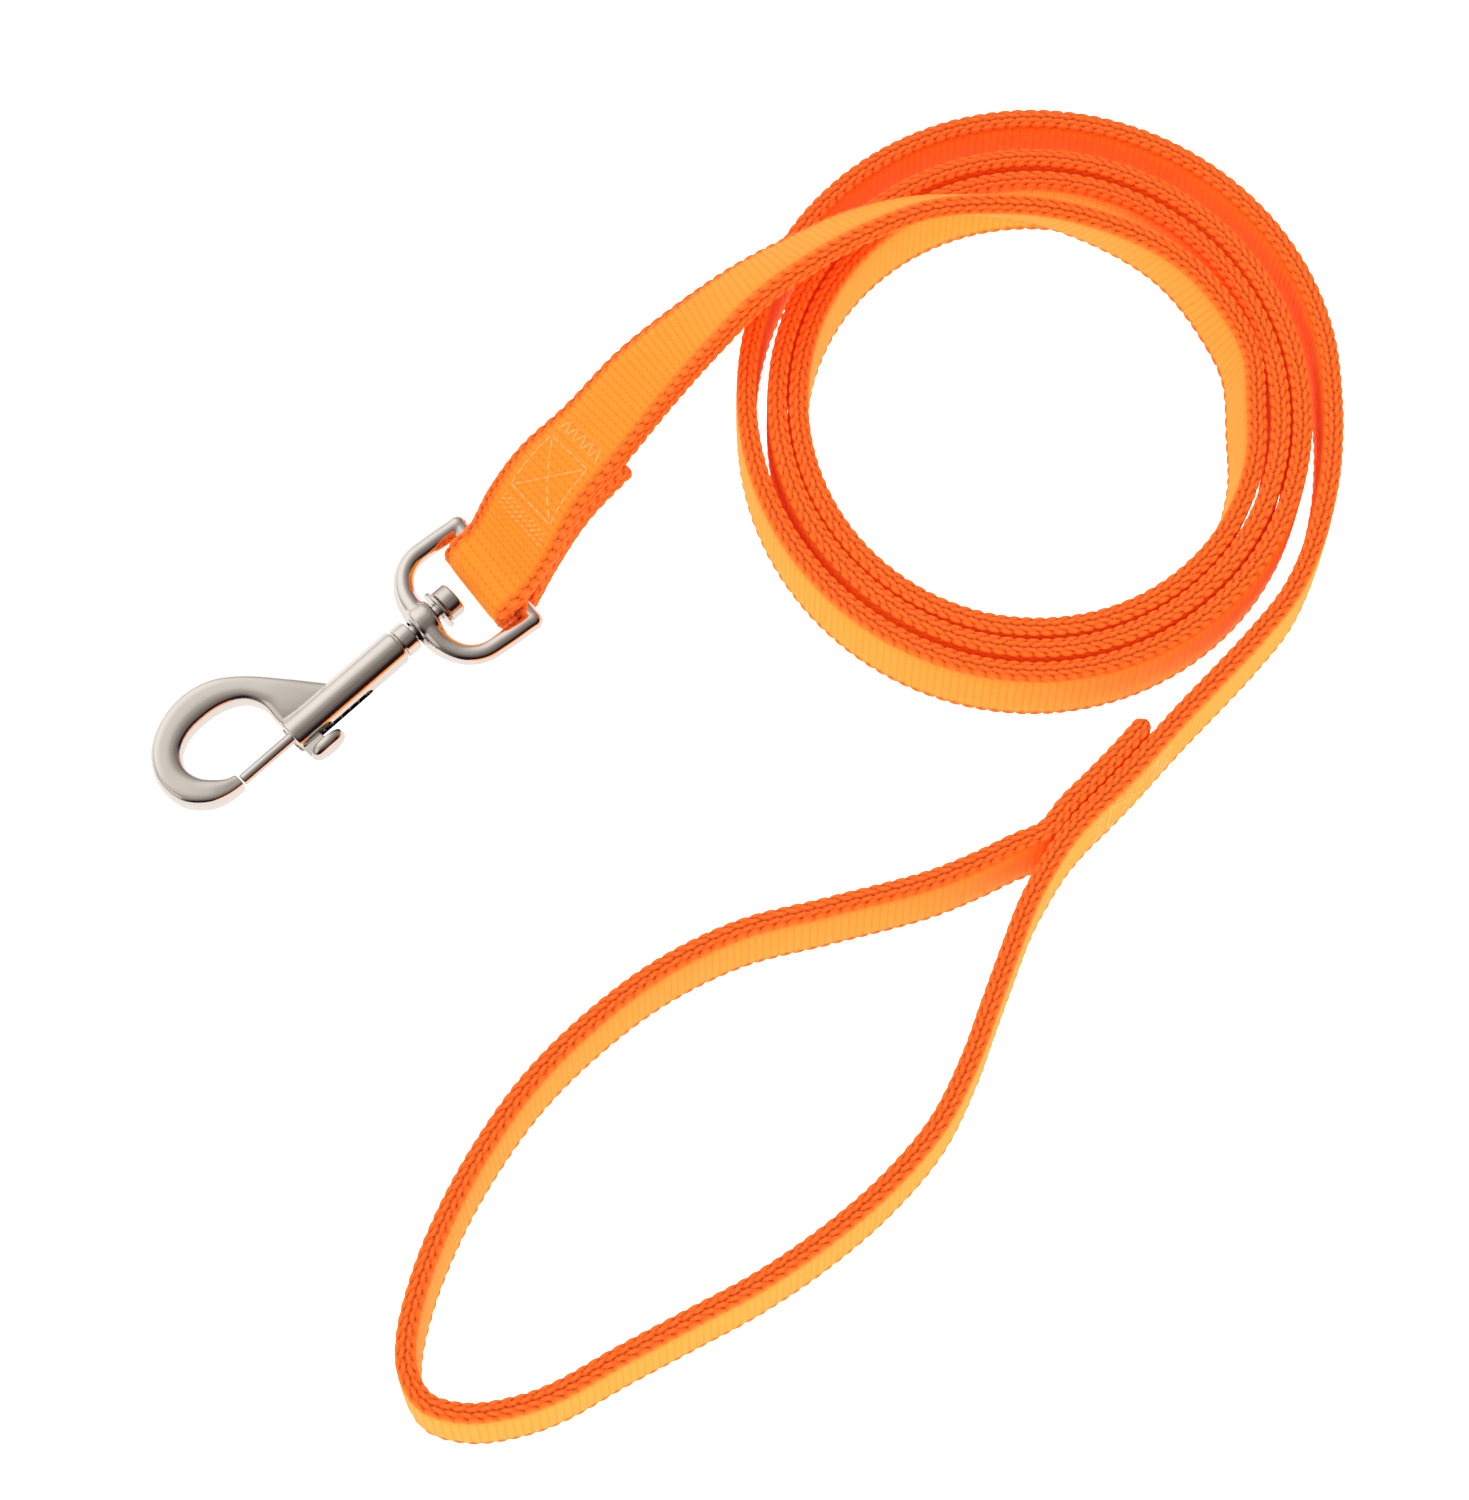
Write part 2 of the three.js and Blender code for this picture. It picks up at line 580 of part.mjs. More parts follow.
function swivelPin() {
  const end = PIN_HEAD_FACE + PIN_HEAD_LENGTH;
  const geometry = turnedAboutX([
    [-PIN_SEAT_DEPTH, 0],
    [-PIN_SEAT_DEPTH, PIN_RADIUS - 0.3],
    [-PIN_SEAT_DEPTH + 0.3, PIN_RADIUS],
    [PIN_HEAD_FACE, PIN_RADIUS],
    [PIN_HEAD_FACE, PIN_HEAD_RADIUS],
    [end - 0.6, PIN_HEAD_RADIUS],
    [end, PIN_HEAD_RADIUS - 0.6],
    [end, 0],
  ], 20);
  return piece("swivel_pin", geometry, steelMaterial);
}

function swivelWasher() {
  const inner = PIN_RADIUS + JOIN_GAP;
  const back = WASHER_FACE + WASHER_THICKNESS;
  const geometry = turnedAboutX([
    [WASHER_FACE, inner],
    [WASHER_FACE, WASHER_RADIUS],
    [back, WASHER_RADIUS],
    [back, inner],
    [WASHER_FACE, inner],
  ], 24);
  return piece("swivel_washer", geometry, steelMaterial);
}

// ---------------------------------------------------------------- bolt, thumb stud and spring
const PLUG_RADIUS = BORE_RADIUS - BOLT_PLUG_CLEARANCE;
const PLUG_END = MOUTH + 0.3 + BOLT_PLUG_LENGTH;

function bolt() {
  const tip = NOSE_END + BOLT_TIP_GAP;
  const geometry = turnedAboutX([
    [tip, 0],
    [tip, BOLT_ROD_RADIUS - 0.4],
    [tip + 0.7, BOLT_ROD_RADIUS],
    [MOUTH + 0.3, BOLT_ROD_RADIUS],
    [MOUTH + 0.3, PLUG_RADIUS],
    [PLUG_END, PLUG_RADIUS],
    [PLUG_END, 0],
  ], 20);
  return piece("bolt", geometry, steelMaterial);
}

function thumbStud() {
  const stemTop = BARREL_RADIUS + STUD_HEAD_STANDOFF;
  const stemFoot = PLUG_RADIUS + JOIN_GAP;
  const stemCentre = MOUTH + 0.4 + STUD_STEM_LENGTH / 2;
  const reach = stemTop + 0.5 - stemFoot;
  const stem = new THREE.BoxGeometry(STUD_STEM_LENGTH, reach, STUD_STEM_THICKNESS)
    .translate(stemCentre, -stemFoot - reach / 2, 0);
  const half = STUD_HEAD_LENGTH / 2;
  const head = new THREE.LatheGeometry([
    new THREE.Vector2(0, 0),
    new THREE.Vector2(half - 0.7, 0),
    new THREE.Vector2(half, 0.6),
    new THREE.Vector2(half, 1.3),
    new THREE.Vector2(half * 0.8, STUD_HEAD_HEIGHT * 0.86),
    new THREE.Vector2(half * 0.4, STUD_HEAD_HEIGHT),
    new THREE.Vector2(0, STUD_HEAD_HEIGHT),
  ], 24)
    .scale(1, 1, STUD_HEAD_WIDTH / STUD_HEAD_LENGTH)
    .rotateX(Math.PI)
    .translate(MOUTH + 0.4 + half, -stemTop, 0);
  return piece("thumb_stud", geometryFrom(union(stem, head)), nickelMaterial);
}

class Helix extends THREE.Curve {
  constructor(radius, from, to, turns) {
    super();
    Object.assign(this, { radius, from, to, turns });
  }

  getPoint(t, target = new THREE.Vector3()) {
    const angle = 2 * Math.PI * this.turns * t;
    const x = THREE.MathUtils.lerp(this.from, this.to, t);
    return target.set(x, this.radius * Math.cos(angle), this.radius * Math.sin(angle));
  }
}

function boltSpring() {
  const radius = BORE_RADIUS - SPRING_BORE_CLEARANCE - SPRING_WIRE_RADIUS;
  const from = PLUG_END + JOIN_GAP + SPRING_WIRE_RADIUS;
  const to = -BORE_BOTTOM_WALL - JOIN_GAP - SPRING_WIRE_RADIUS;
  const path = new Helix(radius, from, to, SPRING_TURNS);
  path.arcLengthDivisions = 400;
  const geometry = new THREE.ExtrudeGeometry(circle(SPRING_WIRE_RADIUS, 6), {
    steps: SPRING_TURNS * 14,
    extrudePath: path,
  });
  return piece("bolt_spring", geometry, steelMaterial);
}

// ---------------------------------------------------------------- assembly
const topStation = lead.rowStation[tailAndFold.length]; // first row of the hook run
const handleSeam = lead.rowStation[seamFirst];

const leash = new THREE.Group();
leash.add(
  webbing("webbing_hook_loop", 0, tailAndFold.length + 4, 2.5),
  webbing("webbing_lead_in", tailAndFold.length + 4, coilFirst, 5),
  webbing("webbing_coil_inner_turn", coilFirst, coilFirst + rowsPerTurn, 9),
  webbing("webbing_coil_middle_turn", coilFirst + rowsPerTurn, coilFirst + 2 * rowsPerTurn, 9),
  webbing("webbing_coil_outer_turn", coilFirst + 2 * rowsPerTurn, coilFirst + 3 * rowsPerTurn, 9),
  webbing("webbing_lead_out", coilFirst + 3 * rowsPerTurn, seamFirst, 6),
  webbing("webbing_hand_loop", seamFirst, ROUTE.length - 1, 4.5),
  boxStitch("hook_box_stitch", topStation, HOOK_SEAM, OUTER_FACE),
  ...tackPair("hook", topStation, HOOK_SEAM, HOOK_OUTER_TACK_DEPTH, ["inner", "outer"]),
  boxStitch("handle_box_stitch", handleSeam, HANDLE_SEAM, OUTER_FACE),
  ...tackPair("handle", handleSeam, HANDLE_SEAM, TACK_DEPTH, ["upper", "lower"]),
);
eyeGroup.add(swivelEye());
snapGroup.add(snapBody(), swivelPin(), swivelWasher(), bolt(), thumbStud(), boltSpring());
leash.add(eyeGroup, snapGroup);

export default leash;
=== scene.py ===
"""Looks for the training leash: woven webbing, sewn threads and plated hardware. Metres, +Z up."""

import json
import math

import bmesh
import bpy
import numpy as np
from mathutils import Matrix, Vector


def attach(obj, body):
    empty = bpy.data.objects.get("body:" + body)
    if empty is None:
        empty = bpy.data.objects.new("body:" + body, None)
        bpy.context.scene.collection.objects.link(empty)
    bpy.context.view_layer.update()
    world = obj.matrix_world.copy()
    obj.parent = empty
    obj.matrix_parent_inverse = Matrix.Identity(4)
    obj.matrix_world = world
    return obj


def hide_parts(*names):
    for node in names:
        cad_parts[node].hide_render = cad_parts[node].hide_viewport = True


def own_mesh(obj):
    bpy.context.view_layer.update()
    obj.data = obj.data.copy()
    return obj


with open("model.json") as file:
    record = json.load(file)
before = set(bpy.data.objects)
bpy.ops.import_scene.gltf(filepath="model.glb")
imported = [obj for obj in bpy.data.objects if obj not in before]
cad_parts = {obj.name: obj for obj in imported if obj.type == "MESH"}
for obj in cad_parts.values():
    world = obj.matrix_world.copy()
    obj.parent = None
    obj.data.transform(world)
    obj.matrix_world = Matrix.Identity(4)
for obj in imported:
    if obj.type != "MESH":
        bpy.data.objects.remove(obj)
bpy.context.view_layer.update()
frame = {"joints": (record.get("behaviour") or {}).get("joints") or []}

MM = 0.001
JOINTS = {joint["name"]: joint for joint in frame["joints"]}

# ------------------------------------------------------------------ camera
CAMERA_TARGET = Vector((-0.0033, 0.0031, 0))
CAMERA_DISTANCE = 0.919
CAMERA_ELEVATION = math.radians(69.2)
CAMERA_LENS = 108


def make_camera():
    data = bpy.data.cameras.new("camera")
    data.lens = CAMERA_LENS
    data.clip_start = 0.05
    camera = bpy.data.objects.new("camera", data)
    back = Vector((0, -math.cos(CAMERA_ELEVATION), math.sin(CAMERA_ELEVATION)))
    camera.location = CAMERA_TARGET + CAMERA_DISTANCE * back
    camera.rotation_mode = "QUATERNION"
    camera.rotation_quaternion = (-back).to_track_quat("-Z", "Y")
    bpy.context.scene.collection.objects.link(camera)
    bpy.context.scene.camera = camera


make_camera()

# ------------------------------------------------------------------ the lead's route
WEBBING_WIDTH = 20 * MM
WEBBING_THICKNESS = 4 * MM
EDGE_ROUND = 1.1 * MM
JOIN_GAP = 0.3 * MM
LAYER_SPACING = WEBBING_THICKNESS + JOIN_GAP
CROSSBAR_RADIUS = 2.1 * MM
FOLD_RADIUS = CROSSBAR_RADIUS + JOIN_GAP + WEBBING_THICKNESS / 2
CROSSBAR_CENTRE = np.array(JOINTS["eye_pivot"]["pos_m"])
UP = np.array([0.0, 0.0, 1.0])

# Hook end: x, y, height in webbing widths, roll and skew in degrees.
HOOK_RUN = [
    (-0.0476, 0.0484, 0.46, 2, 18),
    (-0.0411, 0.0588, 0.52, 10, 10),
    (-0.0321, 0.0679, 0.645, 19, 3),
    (-0.0214, 0.0792, 0.85, 25, 0),
    (-0.0085, 0.0887, 1.22, 37, 0),
    (0.0002, 0.0945, 1.435, 45, 0),
    (0.0111, 0.1012, 1.505, 50, 0),
    (0.0228, 0.1073, 1.525, 53, 0),
    (0.0361, 0.1115, 1.52, 59, 0),
    (0.0515, 0.1126, 1.43, 65, 0),
    (0.0642, 0.1120, 1.28, 70, 0),
    (0.0797, 0.1076, 1.07, 77, 0),
    (0.0896, 0.1020, 0.89, 84, 0),
    (0.0974, 0.0937, 0.69, 91, 0),
    (0.1022, 0.0844, 0.56, 96, 0),
]

# The coil, clockwise from the right-hand side, in layers of webbing out from its core.
COIL_CENTRE = (0.0592, 0.0721)
COIL_CORE_RADIUS = 0.0436
COIL_QUARTER_LAYERS = [0, 1.525, 1.425, 2, 1.55, 2.7, 2.525, 3.3, 2.675, 3.95, 4.1, 5.65, 4.275]
UNWINDING_RUN = [(8.2, 4.33), (16.6, 4.515), (29.2, 4.97)]
COIL_STEPS_PER_QUARTER = 6
COIL_START_LEAN = 8
COIL_LEAN_QUARTERS = 1

# Handle end, standing on edge.
LEAD_OUT_RUN = [(0.1094, 0.0301), (0.1022, 0.0209), (0.0946, 0.0125), (0.0874, 0.0048)]
SEAM_RUN = [
    (0.0826, -0.0006), (0.0773, -0.0067), (0.0718, -0.0126), (0.0662, -0.0183), (0.0619, -0.0236),
]
HAND_LOOP_RUN = [
    (0.0580, -0.0300), (0.0547, -0.0363), (0.0503, -0.0477), (0.0466, -0.0578),
    (0.0429, -0.0679), (0.0364, -0.0811), (0.0266, -0.0930), (0.0150, -0.1033),
    (0.0016, -0.1127), (-0.0118, -0.1201), (-0.0250, -0.1273), (-0.0368, -0.1341),
    (-0.0443, -0.1369), (-0.0540, -0.1383), (-0.0618, -0.1361), (-0.0653, -0.1304),
    (-0.0658, -0.1240), (-0.0635, -0.1127), (-0.0589, -0.1000), (-0.0524, -0.0871),
    (-0.0430, -0.0730), (-0.0315, -0.0608), (-0.0179, -0.0500), (-0.0022, -0.0419),
    (0.0155, -0.0371), (0.0353, -0.0316), (0.0449, -0.0276), (0.0522, -0.0239),
]
SEWN_ROWS = 3  # rows of the hook run that the tail lies under
FOLD_ANGLES = [90, 130, 180, 230, 270]
FOLD_SHIFT = 0.4 * MM  # of the webbing along the crossbar
SAMPLES_PER_ROW = 24


def unit(vectors):
    return vectors / np.linalg.norm(vectors, axis=-1, keepdims=True)


def directions(points):
    """Unit direction at each point, from its two neighbours."""
    return unit(np.vstack([points[1:], points[-1:]]) - np.vstack([points[:1], points[:-1]]))


def catmull_rom(points, t, centripetal):
    """Places at parameters t, 0 to 1, on an open Catmull-Rom spline through the points."""
    last = len(points) - 1
    place = np.clip(t, 0, 1) * last
    start = np.minimum(np.floor(place).astype(int), last - 1)
    u = (place - start)[:, None]
    padded = np.vstack([2 * points[0] - points[1], points, 2 * points[-1] - points[-2]])
    a, b, c, d = (padded[start + k] for k in range(4))
    if centripetal:
        ab, bc, cd = (
            np.linalg.norm(q - p, axis=1)[:, None] ** 0.5 for p, q in ((a, b), (b, c), (c, d))
        )
    else:
        ab = bc = cd = np.ones_like(u)
    from_b = ((b - a) / ab - (c - a) / (ab + bc) + (c - b) / bc) * bc
    into_c = ((c - b) / bc - (d - b) / (bc + cd) + (d - c) / cd) * bc
    square = -3 * b + 3 * c - 2 * from_b - into_c
    cube = 2 * b - 2 * c + from_b + into_c
    return b + u * (from_b + u * (square + u * cube))


def coil_point(degrees, layers):
    radius = COIL_CORE_RADIUS + layers * WEBBING_THICKNESS
    angle = -math.radians(degrees)
    return COIL_CENTRE[0] + radius * math.cos(angle), COIL_CENTRE[1] + radius * math.sin(angle)


def coil_rows():
    """x, y, z, roll and skew of the wound part, whose start leans a little."""
    layers_at_quarters = np.array(COIL_QUARTER_LAYERS, float)[:, None]
    quarters = len(COIL_QUARTER_LAYERS) - 1
    half_edge_flat = WEBBING_THICKNESS / 2 - EDGE_ROUND
    rows = []
    for step in range(quarters * COIL_STEPS_PER_QUARTER + 1):
        quarter = step / COIL_STEPS_PER_QUARTER
        layers = catmull_rom(layers_at_quarters, np.array([quarter / quarters]), False)[0, 0]
        lean = COIL_START_LEAN * max(0, 1 - quarter / COIL_LEAN_QUARTERS)
        tilt = math.radians(lean)
        height = WEBBING_WIDTH / 2 * math.cos(tilt) + half_edge_flat * math.sin(tilt)
        rows.append((*coil_point(90 * quarter, layers), height, 90 + lean, 0))
    return rows


def with_widths(rows):
    """(centres, widths) of rows given as x, y, z, roll and skew."""
    centres = np.array([row[:3] for row in rows])
    tangents = directions(centres)
    sides = unit(np.cross(tangents, UP))
    lifts = unit(np.cross(sides, tangents))
    roll = np.radians([row[3] for row in rows])[:, None]
    skew = np.radians([row[4] for row in rows])[:, None]
    return centres, sides * np.cos(roll) + lifts * np.sin(roll) - tangents * np.tan(skew)


def tab_run():
    """The sewn tab, one layer beside the seam and back along it."""
    points = np.array(SEAM_RUN)
    ahead = directions(points)
    tab = points + LAYER_SPACING * np.stack([ahead[:, 1], -ahead[:, 0]], 1)
    return [tuple(point) for point in tab[::-1]]


def hook_end(centres, widths):
    """The tail under the first rows, then the fold round the crossbar."""
    swivel = np.array(JOINTS["swivel"]["pos_m"])
    away = unit((CROSSBAR_CENTRE - swivel) * (1, 1, 0))
    across = np.cross(away, UP)
    angles = np.radians(FOLD_ANGLES)[::-1, None]
    reach = away * np.cos(angles) + UP * np.sin(angles)
    fold = CROSSBAR_CENTRE + across * FOLD_SHIFT + reach * FOLD_RADIUS
    ahead = unit(centres[1 : SEWN_ROWS + 1] - centres[:SEWN_ROWS])
    normals = unit(np.cross(widths[:SEWN_ROWS], ahead))
    tail = centres[:SEWN_ROWS] - normals * LAYER_SPACING
    fold_widths = np.repeat(across[None], len(fold), 0)
    return (
        np.vstack([tail[::-1], fold]),
        np.vstack([widths[:SEWN_ROWS][::-1], fold_widths]),
    )


class Lead:
    """The whole strip: centre, width direction and face normal at any distance along it."""

    def __init__(self):
        coil = coil_rows()
        hook = [(x, y, widths * WEBBING_WIDTH, roll, skew) for x, y, widths, roll, skew in HOOK_RUN]
        hook_centres, hook_widths = (part[: len(hook)] for part in with_widths(hook + coil[:2]))
        unwinding = [coil_point(*point) for point in UNWINDING_RUN]
        handle = unwinding + LEAD_OUT_RUN + SEAM_RUN + HAND_LOOP_RUN + tab_run()
        on_edge = [(x, y, WEBBING_WIDTH / 2, 90, 0) for x, y in handle]
        later_centres, later_widths = with_widths(coil + on_edge)
        end_centres, end_widths = hook_end(hook_centres, hook_widths)
        self.centres = np.vstack([end_centres, hook_centres, later_centres])
        self.widths = np.vstack([end_widths, hook_widths, later_widths])
        self.samples = np.linspace(0, 1, SAMPLES_PER_ROW * (len(self.centres) - 1) + 1)
        line = catmull_rom(self.centres, self.samples, True)
        steps = np.linalg.norm(np.diff(line, axis=0), axis=1)
        self.stations = np.concatenate([[0], np.cumsum(steps)])
        self.length = self.stations[-1]
        row_station = self.stations[::SAMPLES_PER_ROW]
        first_hook_row = len(end_centres)
        first_later_row = first_hook_row + len(hook)
        self.fold_station = row_station[first_hook_row - 1]
        self.hook_seam_station = row_station[first_hook_row]
        self.handle_seam_station = row_station[
            first_later_row + len(coil) + len(unwinding) + len(LEAD_OUT_RUN) - 1
        ]

    def at(self, stations):
        t = np.interp(stations, self.stations, self.samples)
        step = 1e-5
        ahead = catmull_rom(self.centres, np.minimum(t + step, 1), True)
        behind = catmull_rom(self.centres, np.maximum(t - step, 0), True)
        tangents = unit(ahead - behind)
        widths = catmull_rom(self.widths, t, False)
        normals = unit(np.cross(widths, tangents))
        return catmull_rom(self.centres, t, True), tangents, widths, normals


lead = Lead()


# ------------------------------------------------------------------ meshes
def new_object(name, vertices, faces, smooth=True):
    mesh = bpy.data.meshes.new(name)
    mesh.from_pydata([tuple(v) for v in vertices], [], faces)
    mesh.update()
    if smooth:
        mesh.shade_smooth()
    made = bpy.data.objects.new(name, mesh)
    bpy.context.scene.collection.objects.link(made)
    return made


def closed_grid(rows, columns, first=0):
    """Quads of a tube of so many rows and columns, whose columns close on themselves."""
    row, column = np.meshgrid(np.arange(rows - 1), np.arange(columns), indexing="ij")
    beside = (column + 1) % columns
    corners = [row * columns + column, row * columns + beside]
    corners += [(row + 1) * columns + beside, (row + 1) * columns + column]
    return (np.stack(corners, -1).reshape(-1, 4) + first).tolist()


def capped_grid(rows, columns, first=0):
    """The same tube with a face over each end."""
    last = first + (rows - 1) * columns
    caps = [[first + k for k in range(columns)][::-1], [last + k for k in range(columns)]]
    return closed_grid(rows, columns, first) + caps


def circle(count):
    return np.linspace(0, 2 * math.pi, count, endpoint=False)


# ------------------------------------------------------------------ webbing
BRAID_PITCH = 2.65 * MM
FACE_RIB_PITCH = 1.6 * MM
YARN_PITCH = 0.7 * MM
ROW_LENGTH = 0.36 * MM
PITCH_WANDER = 0.25 * MM  # unevenness of the weave along the strip
WANDER_LENGTH = 9.3 * MM
EDGE_FLAT = WEBBING_THICKNESS - 2 * EDGE_ROUND
EDGE_HALF = EDGE_FLAT / 2 + EDGE_ROUND * math.pi / 2
BASE_SINK = 0.42 * MM  # of the ground between strands, below the section
STRAND_RISE = 0.6 * MM  # of the highest strand, above that ground
FACE_RIB_RISE = 0.15 * MM
FACE_RIB_SHARPNESS = 0.6
GROOVE_INSET = 1.7 * MM  # of the groove beside each woven edge
GROOVE_HALF_WIDTH = 0.4 * MM
GROOVE_DEPTH = 0.18 * MM
WOVEN_EDGE_END = (0.9 * MM, 1.5 * MM)  # how far onto the faces the woven edge fades out
WRAP_PALENESS = 0.4  # share of the face's colour in the strands that wrap onto it
CUT_END_REACH = 0.8 * MM  # how far from the tail's end it thins
TAB_END_REACH = 2.2 * MM
SEALED_SHARE = 0.94  # how far a heat-sealed end thins away
SEALED_NARROWING = 0.8 * MM

# Strands of the woven edge: place across it, half width and height in mm, half length and phase
# in pitches, slant.
EDGE_STRANDS = [
    (-3.35, 0.72, 0.48, 0.53, 0.5, 0.3),
    (-1.95, 0.95, 0.60, 0.53, 0.0, 0.3),
    (-0.62, 0.66, 0.54, 0.55, 0.35, 1.1),
    (0.62, 0.66, 0.54, 0.55, 0.85, -1.1),
    (1.95, 0.95, 0.60, 0.53, 0.5, -0.3),
    (3.35, 0.72, 0.48, 0.53, 0.0, -0.3),
]


def section():
    """Points round the webbing: x through it, y across it, outward direction, and the distance
    round the section from the middle of the nearer edge."""
    t, w, r = WEBBING_THICKNESS / 2, WEBBING_WIDTH / 2, EDGE_ROUND
    edge = []
    for angle in np.linspace(0, math.pi / 2, 7):
        place = -EDGE_FLAT / 2 - r * (math.pi / 2 - angle)
        x, y = t - r + r * math.cos(angle), w - r + r * math.sin(angle)
        edge.append((x, y, math.cos(angle), math.sin(angle), place))
    for x in np.linspace(t - r, 0, 4)[1:]:
        edge.append((x, w, 0, 1, -x))
    edge += [(-x, y, -nx, ny, -place) for x, y, nx, ny, place in edge[-2::-1]]
    face = []
    for inward in (0.3, 0.6, 0.9, 1.2, 1.6, 2.1, 3.2, 5.6, 8.9):
        y = w - r - inward * MM
        face.append((-t, y, -1, 0, EDGE_HALF + inward * MM))
    face += [(x, -y, nx, ny, -place) for x, y, nx, ny, place in face[-2::-1]]
    half = edge + face
    other = [(-x, -y, -nx, -ny, place) for x, y, nx, ny, place in half]
    return np.array(half + other)


def edge_relief(along, place):
    """Height of the braid, 0 between strands and 1 on the highest."""
    best = np.zeros(np.broadcast(along, place).shape)
    for centre, half_width, height, half_length, phase, slant in EDGE_STRANDS:
        across = (place - centre * MM) / (half_width * MM)
        shifted = along / BRAID_PITCH + phase - slant * (place - centre * MM) / BRAID_PITCH
        turn = (shifted - np.floor(shifted) - 0.5) / half_length
        inside = 1 - turn**2 - across**2
        best = np.maximum(best, height * MM * np.sqrt(np.clip(inside, 0, None)))
    return best / STRAND_RISE


def smoothstep(low, high, value):
    u = np.clip((value - low) / (high - low), 0, 1)
    return u * u * (3 - 2 * u)


def tip_scale(distance, reach):
    """How much of the thickness is left near a heat-sealed end."""
    u = np.clip(1 - distance / reach, 0, 1)
    return np.sqrt(1 - SEALED_SHARE * u * u)


def weave_uv(mesh, stations, ring):
    """Map in mm: distance along the webbing, and round its section."""
    columns = len(ring)
    round_ring = np.cumsum(np.linalg.norm(np.diff(ring, axis=0, prepend=ring[:1]), axis=1))
    corner = np.empty(len(mesh.loops), np.int32)
    mesh.loops.foreach_get("vertex_index", corner)
    first_corner = np.empty(len(mesh.polygons), np.int32)
    mesh.polygons.foreach_get("loop_start", first_corner)
    corner_count = np.diff(np.append(first_corner, len(corner)))
    face = np.repeat(np.arange(len(mesh.polygons)), corner_count)
    column = corner % columns
    quads = (len(stations) - 1) * columns
    closing = (face < quads) & (face % columns == columns - 1) & (column == 0)
    girth = 2 * (WEBBING_WIDTH + WEBBING_THICKNESS)
    around = round_ring[column] + np.where(closing, girth, 0)
    both = np.stack([stations[corner // columns], around], 1) / MM
    uv = mesh.uv_layers.new(name="weave")
    uv.data.foreach_set("uv", both.astype(np.float32).reshape(-1))


def make_webbing():
    stations = np.linspace(0, lead.length, round(lead.length / ROW_LENGTH))
    centres, tangents, widths, normals = lead.at(stations)
    ring = section()
    x, y, nx, ny, place = ring.T
    along = stations[:, None] + PITCH_WANDER * np.sin(stations[:, None] / WANDER_LENGTH)
    past_edge = np.abs(place)[None] - EDGE_HALF
    on_edge = 1 - smoothstep(*WOVEN_EDGE_END, past_edge)
    braid = edge_relief(along, place[None])
    rib = np.abs(np.sin(np.pi * along / FACE_RIB_PITCH)) ** FACE_RIB_SHARPNESS
    groove = np.exp(-(((past_edge - GROOVE_INSET) / GROOVE_HALF_WIDTH) ** 2))
    on_face = FACE_RIB_RISE * rib - GROOVE_DEPTH * groove
    height = (braid * STRAND_RISE - BASE_SINK) * on_edge + on_face * (1 - on_edge)
    # The relief also sets the painted shade of the woven edge, darker where it is low.
    relief = braid * on_edge + (0.35 + 0.5 * rib - 0.35 * groove) * (1 - on_edge)

    cut_end = tip_scale(stations, CUT_END_REACH)
    tab_end = tip_scale(lead.length - stations, TAB_END_REACH)
    thin = np.minimum(cut_end, tab_end)[:, None]
    through = (x + nx * height) * thin
    across = y + ny * height - np.sign(y) * (1 - thin) * SEALED_NARROWING
    points = centres[:, None] + normals[:, None] * through[..., None]
    points = points + widths[:, None] * across[..., None]

    made = new_object("webbing", points.reshape(-1, 3), capped_grid(len(stations), len(ring)))
    mesh = made.data
    wrapped = smoothstep(-0.3 * MM, 0.4 * MM, past_edge)
    selvedge = np.repeat(on_edge * (1 - WRAP_PALENESS * wrapped), len(stations), 0)
    for name, values in (("relief", relief), ("selvedge", selvedge)):
        attribute = mesh.attributes.new(name, "FLOAT", "POINT")
        attribute.data.foreach_set("value", values.astype(np.float32).reshape(-1))
    weave_uv(mesh, stations, ring[:, :2])
    mesh.materials.append(webbing_material())

    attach(made, "lead")
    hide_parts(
        "webbing_hook_loop",
        "webbing_lead_in",
        "webbing_coil_inner_turn",
        "webbing_coil_middle_turn",
        "webbing_coil_outer_turn",
        "webbing_lead_out",
        "webbing_hand_loop",
    )
    return made


# ------------------------------------------------------------------ building solids
def softened(profile, radius, steps=6):
    """A profile with its inner corners rounded off."""
    points = [np.array(point, float) for point in profile]
    rounded = [points[0]]
    for before, corner, after in zip(points, points[1:], points[2:]):
        into, out = corner - before, after - corner
        cut = min(radius, 0.45 * np.linalg.norm(into), 0.45 * np.linalg.norm(out))
        start, end = corner - cut * unit(into), corner + cut * unit(out)
        for t in np.linspace(0, 1, steps):
            rounded.append((1 - t) ** 2 * start + 2 * t * (1 - t) * corner + t * t * end)
    return rounded + [points[-1]]


def turned(name, profile, segments=72):
    """Solid of revolution about X from (x, radius) pairs in mm, both ends on the axis."""
    rings = np.array(profile[1:-1]) * MM
    angles = circle(segments)
    vertices = np.empty((len(rings), segments, 3))
    vertices[..., 0] = rings[:, :1]
    vertices[..., 1] = rings[:, 1:] * np.cos(angles)
    vertices[..., 2] = rings[:, 1:] * np.sin(angles)
    count = len(rings) * segments
    poles = [(profile[0][0] * MM, 0, 0), (profile[-1][0] * MM, 0, 0)]
    faces = closed_grid(len(rings), segments)
    for k in range(segments):
        faces.append([count, k, (k + 1) % segments])
        last = count - segments
        faces.append([count + 1, last + (k + 1) % segments, last + k])
    return outward(new_object(name, [*vertices.reshape(-1, 3), *poles], faces))


def lofted(name, sections):
    """Solid through closed sections, an array of sections by points by xyz in metres."""
    faces = capped_grid(*sections.shape[:2])
    return outward(new_object(name, sections.reshape(-1, 3), faces))


